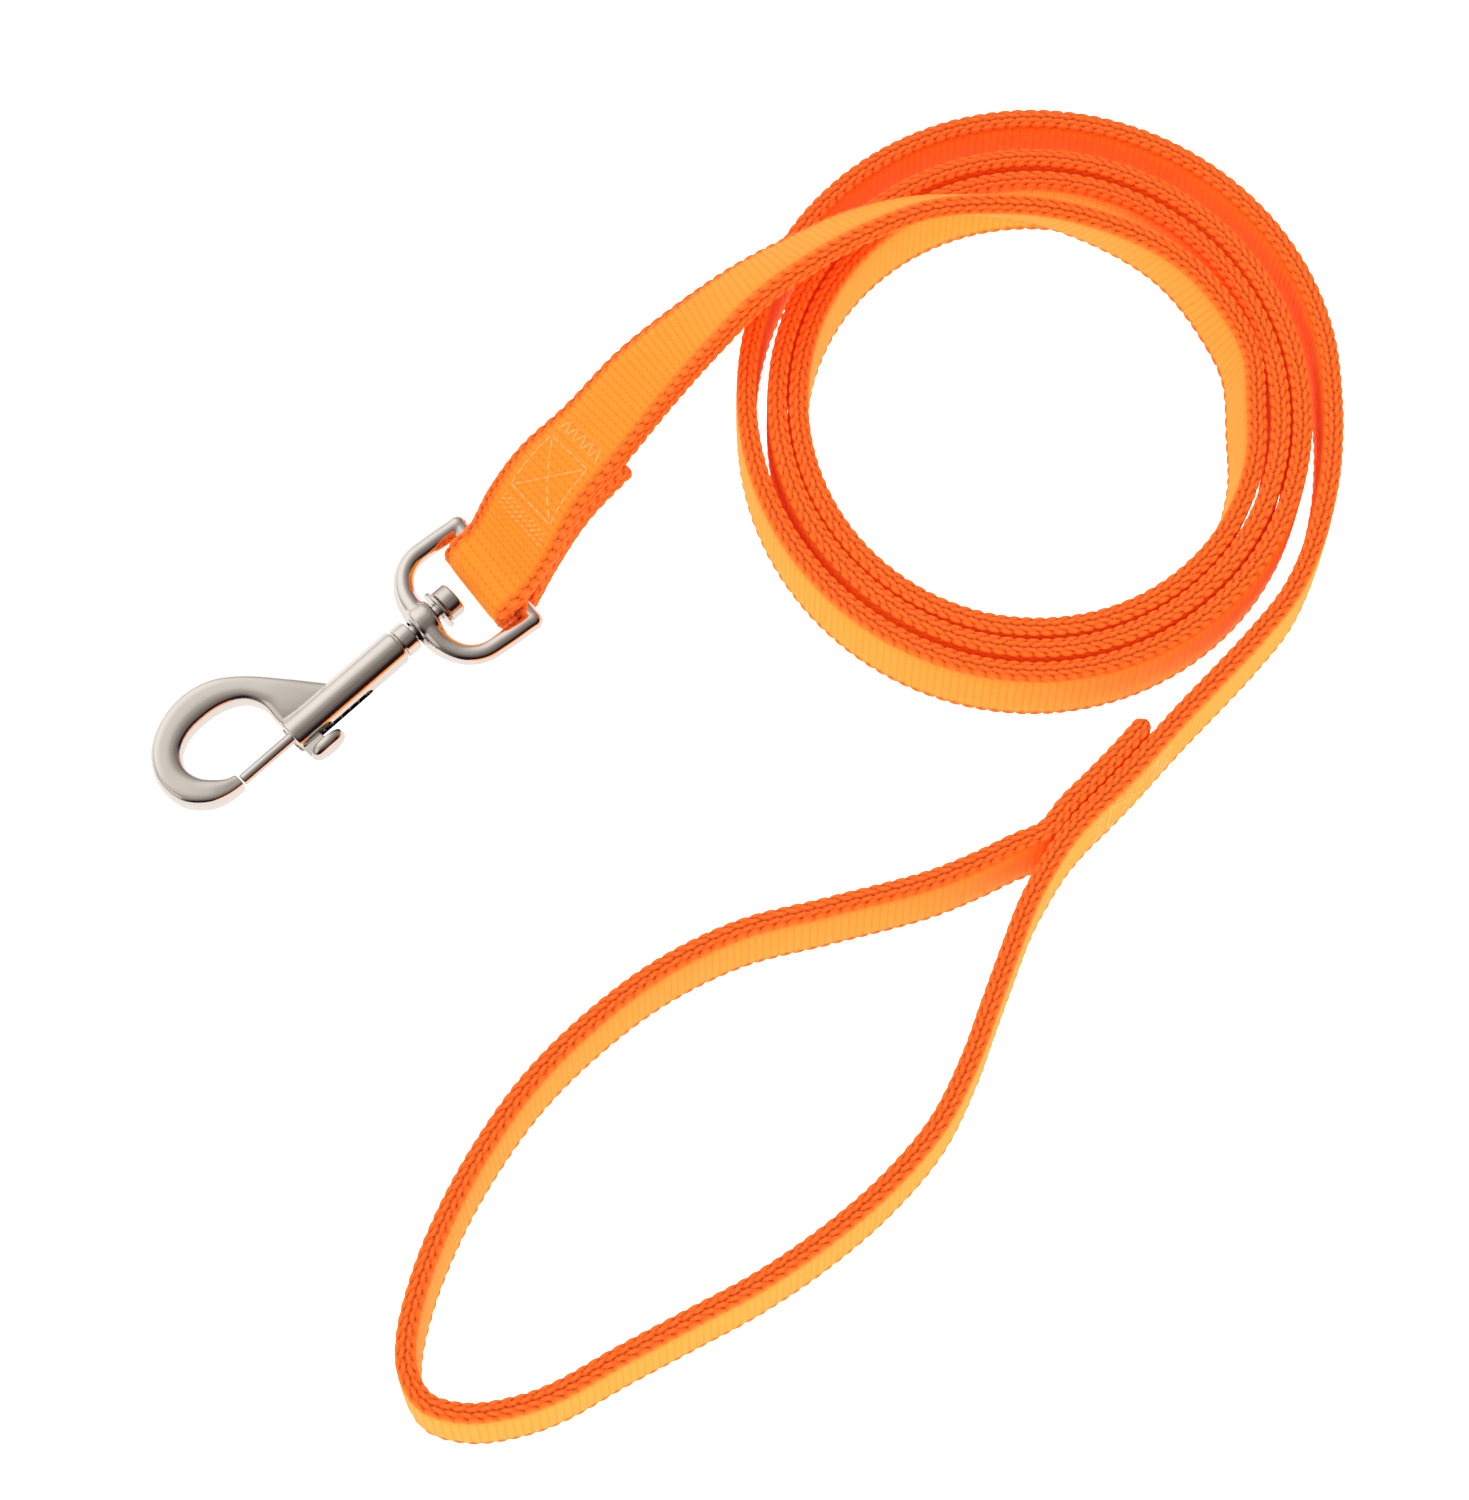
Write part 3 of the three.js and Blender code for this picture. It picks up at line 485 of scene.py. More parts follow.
def extruded(name, outline, heights):
    """Solid from an outline of (x, z) pairs between two places along Y, all in mm."""
    sections = [[(x, y, z) for x, z in outline] for y in heights]
    return lofted(name, np.array(sections) * MM)


def outward(made):
    shape = bmesh.new()
    shape.from_mesh(made.data)
    bmesh.ops.recalc_face_normals(shape, faces=shape.faces)
    shape.to_mesh(made.data)
    shape.free()
    return made


def apply_modifiers(made):
    bpy.context.view_layer.update()
    evaluated = made.evaluated_get(bpy.context.evaluated_depsgraph_get())
    made.data, old = bpy.data.meshes.new_from_object(evaluated), made.data
    made.modifiers.clear()
    bpy.data.meshes.remove(old)


def combined(made, operation, *others):
    for other in others:
        modifier = made.modifiers.new("combine", "BOOLEAN")
        modifier.operation = operation
        modifier.solver = "EXACT"
        modifier.object = other
    apply_modifiers(made)
    for other in others:
        bpy.data.objects.remove(other)
    return made


def fused(name, pieces, voxel, smoothing):
    """One casting from overlapping solids."""
    shape = bmesh.new()
    for piece in pieces:
        shape.from_mesh(piece.data)
        bpy.data.objects.remove(piece)
    mesh = bpy.data.meshes.new(name)
    shape.to_mesh(mesh)
    shape.free()
    made = bpy.data.objects.new(name, mesh)
    bpy.context.scene.collection.objects.link(made)
    remesh = made.modifiers.new("cast", "REMESH")
    remesh.mode = "VOXEL"
    remesh.voxel_size = voxel
    smooth = made.modifiers.new("smooth", "SMOOTH")
    smooth.factor = 0.5
    smooth.iterations = smoothing
    apply_modifiers(made)
    return made


def finished(made, body, slot, material, *nodes, crease=32):
    """Place a piece in its group and let it stand for its CAD nodes."""
    made.data.shade_smooth()
    made.data.set_sharp_from_angle(angle=math.radians(crease))
    made.data.materials.clear()
    made.data.materials.append(material)
    made.matrix_world = GROUPS[body]
    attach(made, body)
    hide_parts(*nodes)
    return made


# ------------------------------------------------------------------ hardware, in mm
EYE_LENGTH = 20.7
EYE_WIRE_RADIUS = 2.1
EYE_HALF_WIDTH = 13.2
EYE_BOSS_RADIUS = 4.6
EYE_BOSS_LENGTH = 5.5
EYE_BOSS_ROUND = 2.0
EYE_FLARE_REACH = 7.5  # from the boss, over which the ring thickens into it
EYE_FLARE_WIDTH = 0.75
EYE_FLARE_HEIGHT = 1.9
EYE_KNUCKLE_RADIUS = 1.06 * EYE_WIRE_RADIUS
EYE_VOXEL = 0.19
EYE_SMOOTHING = 24
SNAP_VOXEL = 0.18
SNAP_SMOOTHING = 8
BARREL_ROUND = 0.7
COLLAR_ROUND = 0.45
PIN_ROUND = 0.65
WASHER_ROUND = 0.15
BOLT_ROUND = 0.4
STUD_ROUND = 0.8
COLLAR_TO_SWIVEL = 3.65
BARREL_RADIUS = 3.85
MOUTH = -32.8
NOSE_END = -46.3
COLLAR_LENGTH = 3.1
COLLAR_RADIUS = 3.5
BORE_RADIUS = 2.3
BORE_BOTTOM = -9.0
SLOT_LENGTH = 19.1
SLOT_WIDTH = 2.4
HOOK_HALF_HEIGHT = 3.2
PIN_RADIUS = 1.7
PIN_SEAT = -6.1
PIN_GAP = 0.3
PIN_HOLE_CLEARANCE = 0.6
PIN_HEAD_RADIUS = 3.7
PIN_HEAD_LENGTH = 3.5
WASHER_FACE = 7.4
WASHER_THICKNESS = 0.7
WASHER_RADIUS = 4.45
PIN_HEAD_FACE = WASHER_FACE + WASHER_THICKNESS + PIN_GAP
ROD_RADIUS = 1.3
ROD_TIP = NOSE_END + 0.4
PLUG_RADIUS = 2.05
PLUG_FACE = MOUTH + 0.3
PLUG_END = PLUG_FACE + 5
STUD_START = MOUTH + 0.4
STUD_HALF_LENGTH = 4.25
STUD_HALF_WIDTH = 3.1
STUD_HEIGHT = 2.7
STUD_UNDERSIDE = BARREL_RADIUS + 1.4
STEM_LENGTH = 4.8
STEM_THICKNESS = 1.9
STEM_CORNER_RADIUS = 0.35
STEM_OVERLAP = 0.5
SPRING_RADIUS = 1.75
SPRING_WIRE = 0.25
SPRING_TURNS = 8


def group_matrix(x_axis, origin):
    x = Vector(x_axis).normalized()
    y = Vector((-x.y, x.x, 0)).normalized()
    z = x.cross(y)
    matrix = Matrix((x, y, z)).transposed().to_4x4()
    matrix.translation = Vector(origin)
    return matrix


SWIVEL = Vector(JOINTS["swivel"]["pos_m"])
SWIVEL_AXIS = Vector(JOINTS["swivel"]["axis"]).normalized()
EYE_AXIS = (Vector(CROSSBAR_CENTRE) - SWIVEL).normalized()
SNAP_FRAME = group_matrix(SWIVEL_AXIS, SWIVEL - COLLAR_TO_SWIVEL * MM * SWIVEL_AXIS)
GROUPS = {
    "eye": group_matrix(EYE_AXIS, Vector(CROSSBAR_CENTRE) - EYE_LENGTH * MM * EYE_AXIS),
    "snap": SNAP_FRAME,
    "bolt": SNAP_FRAME,
}


def dense_spline(points, steps, centripetal=True):
    return catmull_rom(np.array(points, float), np.linspace(0, 1, steps), centripetal)


def rod(name, radius, start, end, segments=48):
    return turned(name, [(start, 0), (start, radius), (end, radius), (end, 0)], segments)


# One side of the eye's bow: shares of its half width and of its length.
EYE_OUTLINE = [(0, 0), (0.25, 0), (0.54, 0.035), (0.82, 0.16), (0.97, 0.34), (1, 0.58), (1, 1)]


def swivel_eye():
    base = EYE_BOSS_LENGTH / 2 - 0.2
    side = [
        (base + (EYE_LENGTH - base) * reach, EYE_HALF_WIDTH * share) for share, reach in EYE_OUTLINE
    ]
    path = dense_spline([(x, -y) for x, y in side[:0:-1]] + side, 160)
    ahead = unit(np.gradient(path, axis=0))
    across = np.stack([-ahead[:, 1], ahead[:, 0]], 1)
    flare = np.exp(-((path[:, 1] / EYE_FLARE_REACH) ** 2))[:, None]
    angles = circle(40)
    half_width = EYE_WIRE_RADIUS + EYE_FLARE_WIDTH * flare
    half_height = EYE_WIRE_RADIUS + EYE_FLARE_HEIGHT * flare
    ring = np.empty((len(path), len(angles), 3))
    ring[..., :2] = path[:, None] + across[:, None] * (half_width * np.cos(angles))[..., None]
    ring[..., 2] = half_height * np.sin(angles)
    pieces = [lofted("eye_ring", ring * MM)]
    boss = [(0, 0), (0, EYE_BOSS_RADIUS), (EYE_BOSS_LENGTH, EYE_BOSS_RADIUS), (EYE_BOSS_LENGTH, 0)]
    pieces.append(turned("eye_boss", softened(boss, EYE_BOSS_ROUND)))
    crossbar = rod("eye_crossbar", EYE_WIRE_RADIUS, -EYE_HALF_WIDTH, EYE_HALF_WIDTH)
    crossbar.data.transform(
        Matrix.Translation((EYE_LENGTH * MM, 0, 0)) @ Matrix.Rotation(math.pi / 2, 4, "Z")
    )
    pieces.append(crossbar)
    radius = EYE_KNUCKLE_RADIUS
    arc = [
        (-radius * math.cos(a), radius * math.sin(a)) for a in np.linspace(0.1, math.pi - 0.1, 24)
    ]
    ball = [(-radius, 0), *arc, (radius, 0)]
    for end in (-1, 1):
        knuckle = turned("eye_knuckle", ball, 48)
        knuckle.data.transform(Matrix.Translation((EYE_LENGTH * MM, end * EYE_HALF_WIDTH * MM, 0)))
        pieces.append(knuckle)
    made = fused("swivel_eye_casting", pieces, EYE_VOXEL * MM, EYE_SMOOTHING)
    hole = rod("eye_hole", PIN_RADIUS + PIN_HOLE_CLEARANCE, -8, 8)
    turn = GROUPS["eye"].inverted() @ SNAP_FRAME
    hole.data.transform(
        Matrix.Translation((EYE_BOSS_LENGTH / 2 * MM, 0, 0)) @ turn.to_3x3().to_4x4()
    )
    combined(made, "DIFFERENCE", hole)
    return finished(made, "eye", "nickel", NICKEL, "swivel_eye", crease=42)


# The hook in sections: outer edge, inner edge, half height, all in mm.
HOOK_SECTIONS = [
    ((-16.0, -0.6), (-31.0, -0.6), 2.6),
    ((-19.3, 3.3), (-32.6, 3.6), 3.0),
    ((-24.9, 9.8), (-32.7, 8.5), 3.2),
    ((-30.9, 16.3), (-34.7, 12.1), 3.2),
    ((-36.5, 20.4), (-38.6, 14.1), 3.2),
    ((-43.2, 21.9), (-43.1, 14.7), 3.2),
    ((-50.6, 20.4), (-47.6, 14.2), 3.2),
    ((-56.2, 16.4), (-51.1, 12.3), 3.2),
    ((-59.0, 10.6), (-52.6, 9.2), 3.2),
    ((-58.3, 4.2), (-51.8, 5.9), 3.2),
    ((-54.4, 0.0), (-49.5, 3.3), 3.1),
    ((-50.2, -1.5), (-47.9, 2.1), 2.8),
    ((NOSE_END, -1.7), (NOSE_END, 1.7), 2.3),
]
# Powers of the section's superellipse: 1 is round, and less is squarer.
HOOK_OUTER_FULLNESS = 0.45
HOOK_INNER_FULLNESS = 0.75
HOOK_TOP_FULLNESS = 0.64
# The ground flat on the far end of the bow: its normal, and how far along it the flat lies.
FACET_NORMAL = (-0.625, 0.0, 0.781)
FACET_REACH = 37.6


def hook_casting():
    steps = 150
    outer = dense_spline([section[0] for section in HOOK_SECTIONS], steps)
    inner = dense_spline([section[1] for section in HOOK_SECTIONS], steps)
    heights = dense_spline([(section[2],) for section in HOOK_SECTIONS], steps, False)
    middle, reach = (outer + inner) / 2, (outer - inner) / 2
    angles = circle(56)
    fullness = np.where(np.cos(angles) > 0, HOOK_OUTER_FULLNESS, HOOK_INNER_FULLNESS)
    across = np.sign(np.cos(angles)) * np.abs(np.cos(angles)) ** fullness
    up = np.sign(np.sin(angles)) * np.abs(np.sin(angles)) ** HOOK_TOP_FULLNESS
    sections = np.empty((steps, len(angles), 3))
    sections[..., :2] = middle[:, None] + reach[:, None] * across[None, :, None]
    sections[..., 2] = heights * up
    return lofted("snap_hook", sections * MM)


def snap_body():
    shoulder = -COLLAR_LENGTH - 0.4
    barrel = [(MOUTH, 0), (MOUTH, BARREL_RADIUS), (shoulder, BARREL_RADIUS), (shoulder, 0)]
    collar = [
        (shoulder - 1, 0),
        (shoulder - 1, COLLAR_RADIUS - 0.7),
        (-COLLAR_LENGTH, COLLAR_RADIUS - 0.7),
        (-COLLAR_LENGTH, COLLAR_RADIUS),
        (0, COLLAR_RADIUS),
        (0, 0),
    ]
    pieces = [turned("snap_barrel", softened(barrel, BARREL_ROUND)), hook_casting()]
    made = fused("snap_body_casting", pieces, SNAP_VOXEL * MM, SNAP_SMOOTHING)
    normal = np.array(FACET_NORMAL)
    down = np.cross(normal, (0, 1, 0))
    rectangle = [(-10, -20), (30, -20), (30, 20), (-10, 20)]
    waste = [
        [normal * (FACET_REACH + depth) + down * b + np.array((0, a, 0)) for a, b in rectangle]
        for depth in (0, 12)
    ]
    combined(made, "DIFFERENCE", lofted("snap_waste", np.array(waste) * MM))
    combined(made, "UNION", turned("snap_collar", softened(collar, COLLAR_ROUND)))
    bore = rod("snap_bore", BORE_RADIUS, MOUTH - 1, BORE_BOTTOM)
    seat = rod("snap_pin_seat", PIN_RADIUS + PIN_GAP, PIN_SEAT - PIN_GAP, 1)
    half, depth = SLOT_WIDTH / 2, BARREL_RADIUS + 2
    rounded = [
        (MOUTH + SLOT_LENGTH - half + half * math.cos(a), half * math.sin(a))
        for a in np.linspace(-math.pi / 2, math.pi / 2, 13)
    ]
    outline = [(MOUTH - 1, -half), *rounded, (MOUTH - 1, half)]
    combined(made, "DIFFERENCE", bore, seat, extruded("snap_slot", outline, (0.0, -depth)))
    return finished(made, "snap", "nickel", NICKEL, "snap_body", crease=26)


def swivel_pin():
    end = PIN_HEAD_FACE + PIN_HEAD_LENGTH
    profile = softened(
        [
            (PIN_SEAT, 0),
            (PIN_SEAT, PIN_RADIUS),
            (PIN_HEAD_FACE, PIN_RADIUS),
            (PIN_HEAD_FACE, PIN_HEAD_RADIUS),
            (end, PIN_HEAD_RADIUS),
            (end, 0),
        ],
        PIN_ROUND,
    )
    return finished(turned("swivel_rivet", profile), "snap", "steel", STEEL, "swivel_pin")


def swivel_washer():
    inner, back = PIN_RADIUS + PIN_GAP, WASHER_FACE + WASHER_THICKNESS
    corners = [
        (WASHER_FACE, inner),
        (WASHER_FACE, WASHER_RADIUS),
        (back, WASHER_RADIUS),
        (back, inner),
    ]
    ring = softened([*corners, corners[0], corners[1]], WASHER_ROUND)[1:-1]
    angles = circle(72)
    points = [(x, r * math.cos(a), r * math.sin(a)) for a in angles for x, r in ring]
    faces = closed_grid(len(angles) + 1, len(ring))
    faces = [[corner % len(points) for corner in face] for face in faces]
    made = outward(new_object("swivel_thrust_washer", np.array(points) * MM, faces))
    return finished(made, "snap", "steel", STEEL, "swivel_washer")


def sliding_bolt():
    profile = softened(
        [
            (ROD_TIP, 0),
            (ROD_TIP, ROD_RADIUS),
            (PLUG_FACE, ROD_RADIUS),
            (PLUG_FACE, PLUG_RADIUS),
            (PLUG_END, PLUG_RADIUS),
            (PLUG_END, 0),
        ],
        BOLT_ROUND,
    )
    return finished(turned("sliding_bolt", profile, 56), "bolt", "steel", STEEL, "bolt")


def thumb_stud():
    head = softened(
        [
            (0, 0),
            (0, STUD_HALF_LENGTH - 0.2),
            (STUD_HEIGHT * 0.55, STUD_HALF_LENGTH),
            (STUD_HEIGHT * 0.9, STUD_HALF_LENGTH * 0.8),
            (STUD_HEIGHT, 0),
        ],
        STUD_ROUND,
    )
    made = turned("thumb_stud_head", head, 80)
    centre = STUD_START + STUD_HALF_LENGTH
    made.data.transform(
        Matrix.Translation(Vector((centre, -STUD_UNDERSIDE, 0)) * MM)
        @ Matrix.Diagonal((1, 1, STUD_HALF_WIDTH / STUD_HALF_LENGTH, 1))
        @ Matrix.Rotation(-math.pi / 2, 4, "Z")
    )
    foot, top = PLUG_RADIUS + PIN_GAP, STUD_UNDERSIDE + STEM_OVERLAP
    half, corner = STEM_THICKNESS / 2, STEM_CORNER_RADIUS
    near, far = STUD_START + corner, STUD_START + STEM_LENGTH - corner
    outline = []
    for x, z, first in (
        (far, half - corner, 0),
        (near, half - corner, 90),
        (near, -half + corner, 180),
        (far, -half + corner, 270),
    ):
        for a in np.radians(np.linspace(first, first + 90, 6)):
            outline.append((x + corner * math.cos(a), z + corner * math.sin(a)))
    combined(made, "UNION", extruded("thumb_stud_stem", outline, (-foot, -top)))
    return finished(made, "bolt", "nickel", NICKEL, "thumb_stud")


def bolt_spring():
    start, end = PLUG_END + PIN_GAP + SPRING_WIRE, BORE_BOTTOM - PIN_GAP - SPRING_WIRE
    t = np.linspace(0, 1, SPRING_TURNS * 28 + 1)[:, None]
    angle = 2 * math.pi * SPRING_TURNS * t
    radial = np.concatenate([0 * t, np.cos(angle), np.sin(angle)], 1)
    line = radial * SPRING_RADIUS
    line[:, :1] = start + (end - start) * t
    binormal = np.cross(unit(np.gradient(line, axis=0)), radial)
    turn = circle(12)[None, :, None]
    sections = line[:, None] + SPRING_WIRE * (
        radial[:, None] * np.cos(turn) + binormal[:, None] * np.sin(turn)
    )
    coil = lofted("compression_spring", sections * MM)
    made = finished(coil, "snap", "steel", STEEL, "bolt_spring", crease=60)
    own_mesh(made)
    return made


# ------------------------------------------------------------------ sewing
THREAD_RADIUS = 0.26 * MM
STITCH_LENGTH = 2.3 * MM
STITCH_GAP = 0.22 * MM
STITCH_RISE = 0.2 * MM
STITCH_SINK = 0.12 * MM
STITCH_WANDER = 0.05 * MM
SEWING_SEED = 7

# The seams' plans, in mm.
CROSS_INSET = (0.5, 0.6)  # of the cross's ends from the box, along and across
ZIGZAG_PITCH = 1.3
TACK_DEPTH = 2.6
TACK_PITCH = 1.25
TACK_SLANT = (0.35, 0.55)  # half of one tack stitch, along and across


def one_stitch(start, end, side, under):
    """Rings of one stitch between two places given as station and across, in metres."""
    t = np.linspace(0, 1, 9)
    flat = start + (end - start) * t[:, None]
    centres, tangents, widths, normals = lead.at(flat[:, 0])
    arch = STITCH_RISE * (1 - np.abs(2 * t - 1) ** 3) - STITCH_SINK
    height = side * (WEBBING_THICKNESS / 2 + under + arch)
    line = centres + widths * flat[:, 1:] + normals * height[:, None]
    ahead = unit(np.gradient(line, axis=0))
    beside = unit(np.cross(ahead, normals))
    up = np.cross(beside, ahead)
    angles = circle(8)[None, :, None]
    radius = THREAD_RADIUS * (0.62 + 0.38 * np.sin(math.pi * t))[:, None, None]
    return line[:, None] + radius * (
        beside[:, None] * np.cos(angles) + up[:, None] * np.sin(angles)
    )


def sewn(name, lines, replaced):
    """Lines of stitches on both faces of a seam."""
    rng = np.random.default_rng(SEWING_SEED)
    vertices, faces = [], []
    for side, under in ((1, 0.0), (-1, LAYER_SPACING)):
        for start, end in lines:
            start, end = np.array(start) * MM, np.array(end) * MM
            length = np.linalg.norm(end - start)
            count = max(1, round(length / STITCH_LENGTH))
            direction = (end - start) / length
            for k in range(count):
                first = start + direction * (length * k / count + STITCH_GAP / 2)
                last = start + direction * (length * (k + 1) / count - STITCH_GAP / 2)
                wander = rng.normal(0, STITCH_WANDER, (2, 2))
                rings = one_stitch(first + wander[0], last + wander[1], side, under)
                faces += capped_grid(*rings.shape[:2], sum(len(part) for part in vertices))
                vertices.append(rings.reshape(-1, 3))
    made = outward(new_object(name, np.vstack(vertices), faces))
    made.data.materials.append(THREAD)
    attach(made, "lead")
    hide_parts(*replaced)
    return made


def box_lines(start, end, half):
    """A box with a cross."""
    along, inset = CROSS_INSET[0], half - CROSS_INSET[1]
    return [
        ((start, -half), (end, -half)),
        ((end, -half), (end, half)),
        ((end, half), (start, half)),
        ((start, half), (start, -half)),
        ((start + along, -inset), (end - along, inset)),
        ((start + along, inset), (end - along, -inset)),
    ]


def zigzag_lines(station, half, depth):
    count = round(2 * half / ZIGZAG_PITCH)
    corners = [
        (station + (depth / 2 if k % 2 else -depth / 2), -half + 2 * half * k / count)
        for k in range(count + 1)
    ]
    return list(zip(corners, corners[1:]))


def tack_lines(station, half):
    """Close rows of short slanting stitches."""
    along, across = TACK_SLANT
    count = round(2 * half / TACK_PITCH)
    lines = []
    for row in (station - TACK_DEPTH / 2, station, station + TACK_DEPTH / 2):
        for k in range(count):
            middle = -half + 2 * half * (k + 0.5) / count
            lines.append(((row - along, middle - across), (row + along, middle + across)))
    return lines


def seam_lines(station, box, box_half, tack, zigzag, zigzag_depth, half):
    """A seam's stitches, at places in mm past the station where it starts."""
    start = station / MM
    lines = box_lines(start + box[0], start + box[1], box_half)
    lines += tack_lines(start + tack, half)
    return lines + zigzag_lines(start + zigzag, half, zigzag_depth)


# ------------------------------------------------------------------ materials
class Nodes:
    """A material's nodes, made one call at a time."""

    def __init__(self, name):
        self.material = bpy.data.materials.new(name)
        self.material.use_nodes = True
        self.tree = self.material.node_tree
        self.shader = self.tree.nodes["Principled BSDF"]

    def add(self, kind, inputs=None, **settings):
        node = self.tree.nodes.new(kind)
        for key, value in settings.items():
            setattr(node, key, value)
        for key, value in (inputs or {}).items():
            self.set(node.inputs[key], value)
        return node

    def set(self, socket, value):
        if isinstance(value, bpy.types.NodeSocket):
            self.tree.links.new(value, socket)
        else:
            socket.default_value = value

    def math(self, operation, *values):
        node = self.add("ShaderNodeMath", operation=operation)
        for socket, value in zip(node.inputs, values):
            self.set(socket, value)
        return node.outputs[0]

    def ribs(self, place):
        """0 between ribs and 1 on each, one rib for each whole step of the place."""
        return self.math("ABSOLUTE", self.math("SINE", self.math("MULTIPLY", place, math.pi)))

    def ramp(self, factor, stops):
        node = self.add("ShaderNodeValToRGB", {"Fac": factor})
        elements = node.color_ramp.elements
        while len(elements) < len(stops):
            elements.new(1.0)
        for element, (position, colour) in zip(elements, stops):
            element.position = position
            element.color = (*colour, 1)
        return node.outputs["Color"]

    def mix(self, factor, a, b):
        node = self.add("ShaderNodeMix", data_type="RGBA")
        self.set(node.inputs["Factor"], factor)
        self.set(node.inputs["A"], a)
        self.set(node.inputs["B"], b)
        return node.outputs["Result"]

    def noise(self, scale, detail=3.0, vector=None):
        node = self.add("ShaderNodeTexNoise", {"Scale": scale, "Detail": detail})
        if vector is not None:
            self.set(node.inputs["Vector"], vector)
        return node.outputs["Fac"]

    def bump(self, height, strength, distance):
        node = self.add(
            "ShaderNodeBump", {"Height": height, "Strength": strength, "Distance": distance}
        )
        self.set(self.shader.inputs["Normal"], node.outputs["Normal"])


PAINTED_FOLD_GLOW = 0.1  # painted red glow: emission over the whole webbing that stands in for the light the translucent fibres carry into the folds
# Colours of the faces by weave height: darker low down as painted shade between ribs and yarns.
FACE_COLOURS_SHADED_BETWEEN_RIBS = [(0.25, (0.96, 0.235, 0.008)), (0.85, (1.0, 0.36, 0.018))]
# Colours of the woven edge by braid height: dark and red low down as painted shade between the
# strands, bright on the strand tops.
EDGE_COLOURS_SHADED_BETWEEN_STRANDS = [
    (0.1, (0.50, 0.030, 0.002)),
    (0.5, (0.96, 0.125, 0.005)),
    (0.95, (1.0, 0.205, 0.012)),
]
UNEVEN_DYE = (1.0, 0.40, 0.06, 1)
THREAD_COLOURS = [(0.35, (1.0, 0.43, 0.10)), (0.65, (1.0, 0.55, 0.17))]


def webbing_material():
    nodes = Nodes("woven_webbing")
    place = nodes.add("ShaderNodeUVMap", uv_map="weave").outputs["UV"]
    split = nodes.add("ShaderNodeSeparateXYZ", {"Vector": place}).outputs
    relief = nodes.add("ShaderNodeAttribute", attribute_name="relief").outputs["Fac"]
    selvedge = nodes.add("ShaderNodeAttribute", attribute_name="selvedge").outputs["Fac"]

    column = nodes.math("DIVIDE", split["Y"], YARN_PITCH / MM)
    along = nodes.math("DIVIDE", split["X"], FACE_RIB_PITCH / MM)
    every_other = nodes.math("MULTIPLY", nodes.math("FLOOR", column), 0.5)
    yarn_ends = nodes.ribs(nodes.math("ADD", along, every_other))
    yarn_sides = nodes.ribs(column)
    weave = nodes.math(
        "MULTIPLY", nodes.math("POWER", yarn_ends, 0.5), nodes.math("POWER", yarn_sides, 0.5)
    )

    stretched = nodes.add("ShaderNodeMapping", {"Vector": place, "Scale": (1.2, 9.0, 1.0)})
    fibres = nodes.noise(2.0, 4.0, stretched.outputs[0])
    patches = nodes.noise(0.12, 2.0, place)

    broad_rib = nodes.math("POWER", nodes.ribs(along), FACE_RIB_SHARPNESS)
    # Painted shade: the faces are darker where the weave is low, between ribs and yarns.
    ribbed = nodes.math("MULTIPLY_ADD", broad_rib, 0.45, nodes.math("MULTIPLY", weave, 0.55))
    face = nodes.ramp(ribbed, FACE_COLOURS_SHADED_BETWEEN_RIBS)
    # Painted shade: the woven edge is darker between its strands.
    edge = nodes.ramp(relief, EDGE_COLOURS_SHADED_BETWEEN_STRANDS)
    colour = nodes.mix(selvedge, face, edge)
    uneven = nodes.mix(nodes.math("MULTIPLY", patches, 0.08), colour, UNEVEN_DYE)
    nodes.set(nodes.shader.inputs["Base Color"], uneven)
    nodes.shader.inputs["Roughness"].default_value = 0.78
    nodes.shader.inputs["Specular IOR Level"].default_value = 0.25
    nodes.shader.inputs["Sheen Weight"].default_value = 0.08
    nodes.shader.inputs["Sheen Roughness"].default_value = 0.5
    nodes.shader.inputs["Sheen Tint"].default_value = (1.0, 0.6, 0.2, 1)
    # Painted glow: the webbing gives off a little red light of its own, to light its folds.
    nodes.shader.inputs["Emission Color"].default_value = (1.0, 0.03, 0.01, 1)
    nodes.shader.inputs["Emission Strength"].default_value = PAINTED_FOLD_GLOW
    fine = nodes.math("MULTIPLY", weave, nodes.math("SUBTRACT", 1.0, selvedge))
    height = nodes.math("ADD", fine, nodes.math("MULTIPLY", fibres, 0.35))
    nodes.bump(height, 0.8, 0.12 * MM)
    return nodes.material


def thread_material():
    nodes = Nodes("sewing_thread")
    place = nodes.add("ShaderNodeTexCoord").outputs["Object"]
    strands = nodes.noise(900.0, 2.0, place)
    nodes.set(nodes.shader.inputs["Base Color"], nodes.ramp(strands, THREAD_COLOURS))
    nodes.shader.inputs["Roughness"].default_value = 0.6
    nodes.shader.inputs["Specular IOR Level"].default_value = 0.2
    nodes.bump(strands, 0.5, 0.05 * MM)
    return nodes.material


def metal_material(name, colour, roughness):
    nodes = Nodes(name)
    place = nodes.add("ShaderNodeTexCoord").outputs["Object"]
    clouding = nodes.noise(55.0, 3.0, place)
    dark = tuple(0.93 * part for part in colour)
    nodes.set(nodes.shader.inputs["Base Color"], nodes.ramp(clouding, [(0.3, dark), (0.7, colour)]))
    nodes.shader.inputs["Metallic"].default_value = 1.0
    wear = nodes.math("MULTIPLY_ADD", nodes.noise(900.0, 4.0, place), 0.06, roughness - 0.03)
    nodes.set(nodes.shader.inputs["Roughness"], wear)
    nodes.bump(nodes.noise(140.0, 2.0, place), 0.06, 0.3 * MM)
    return nodes.material


THREAD = thread_material()
NICKEL = metal_material("nickel_plate", (0.80, 0.765, 0.725), 0.09)
STEEL = metal_material("bright_steel", (0.74, 0.71, 0.68), 0.12)

make_webbing()
swivel_eye()
snap_body()
swivel_pin()
swivel_washer()
sliding_bolt()
thumb_stud()
bolt_spring()

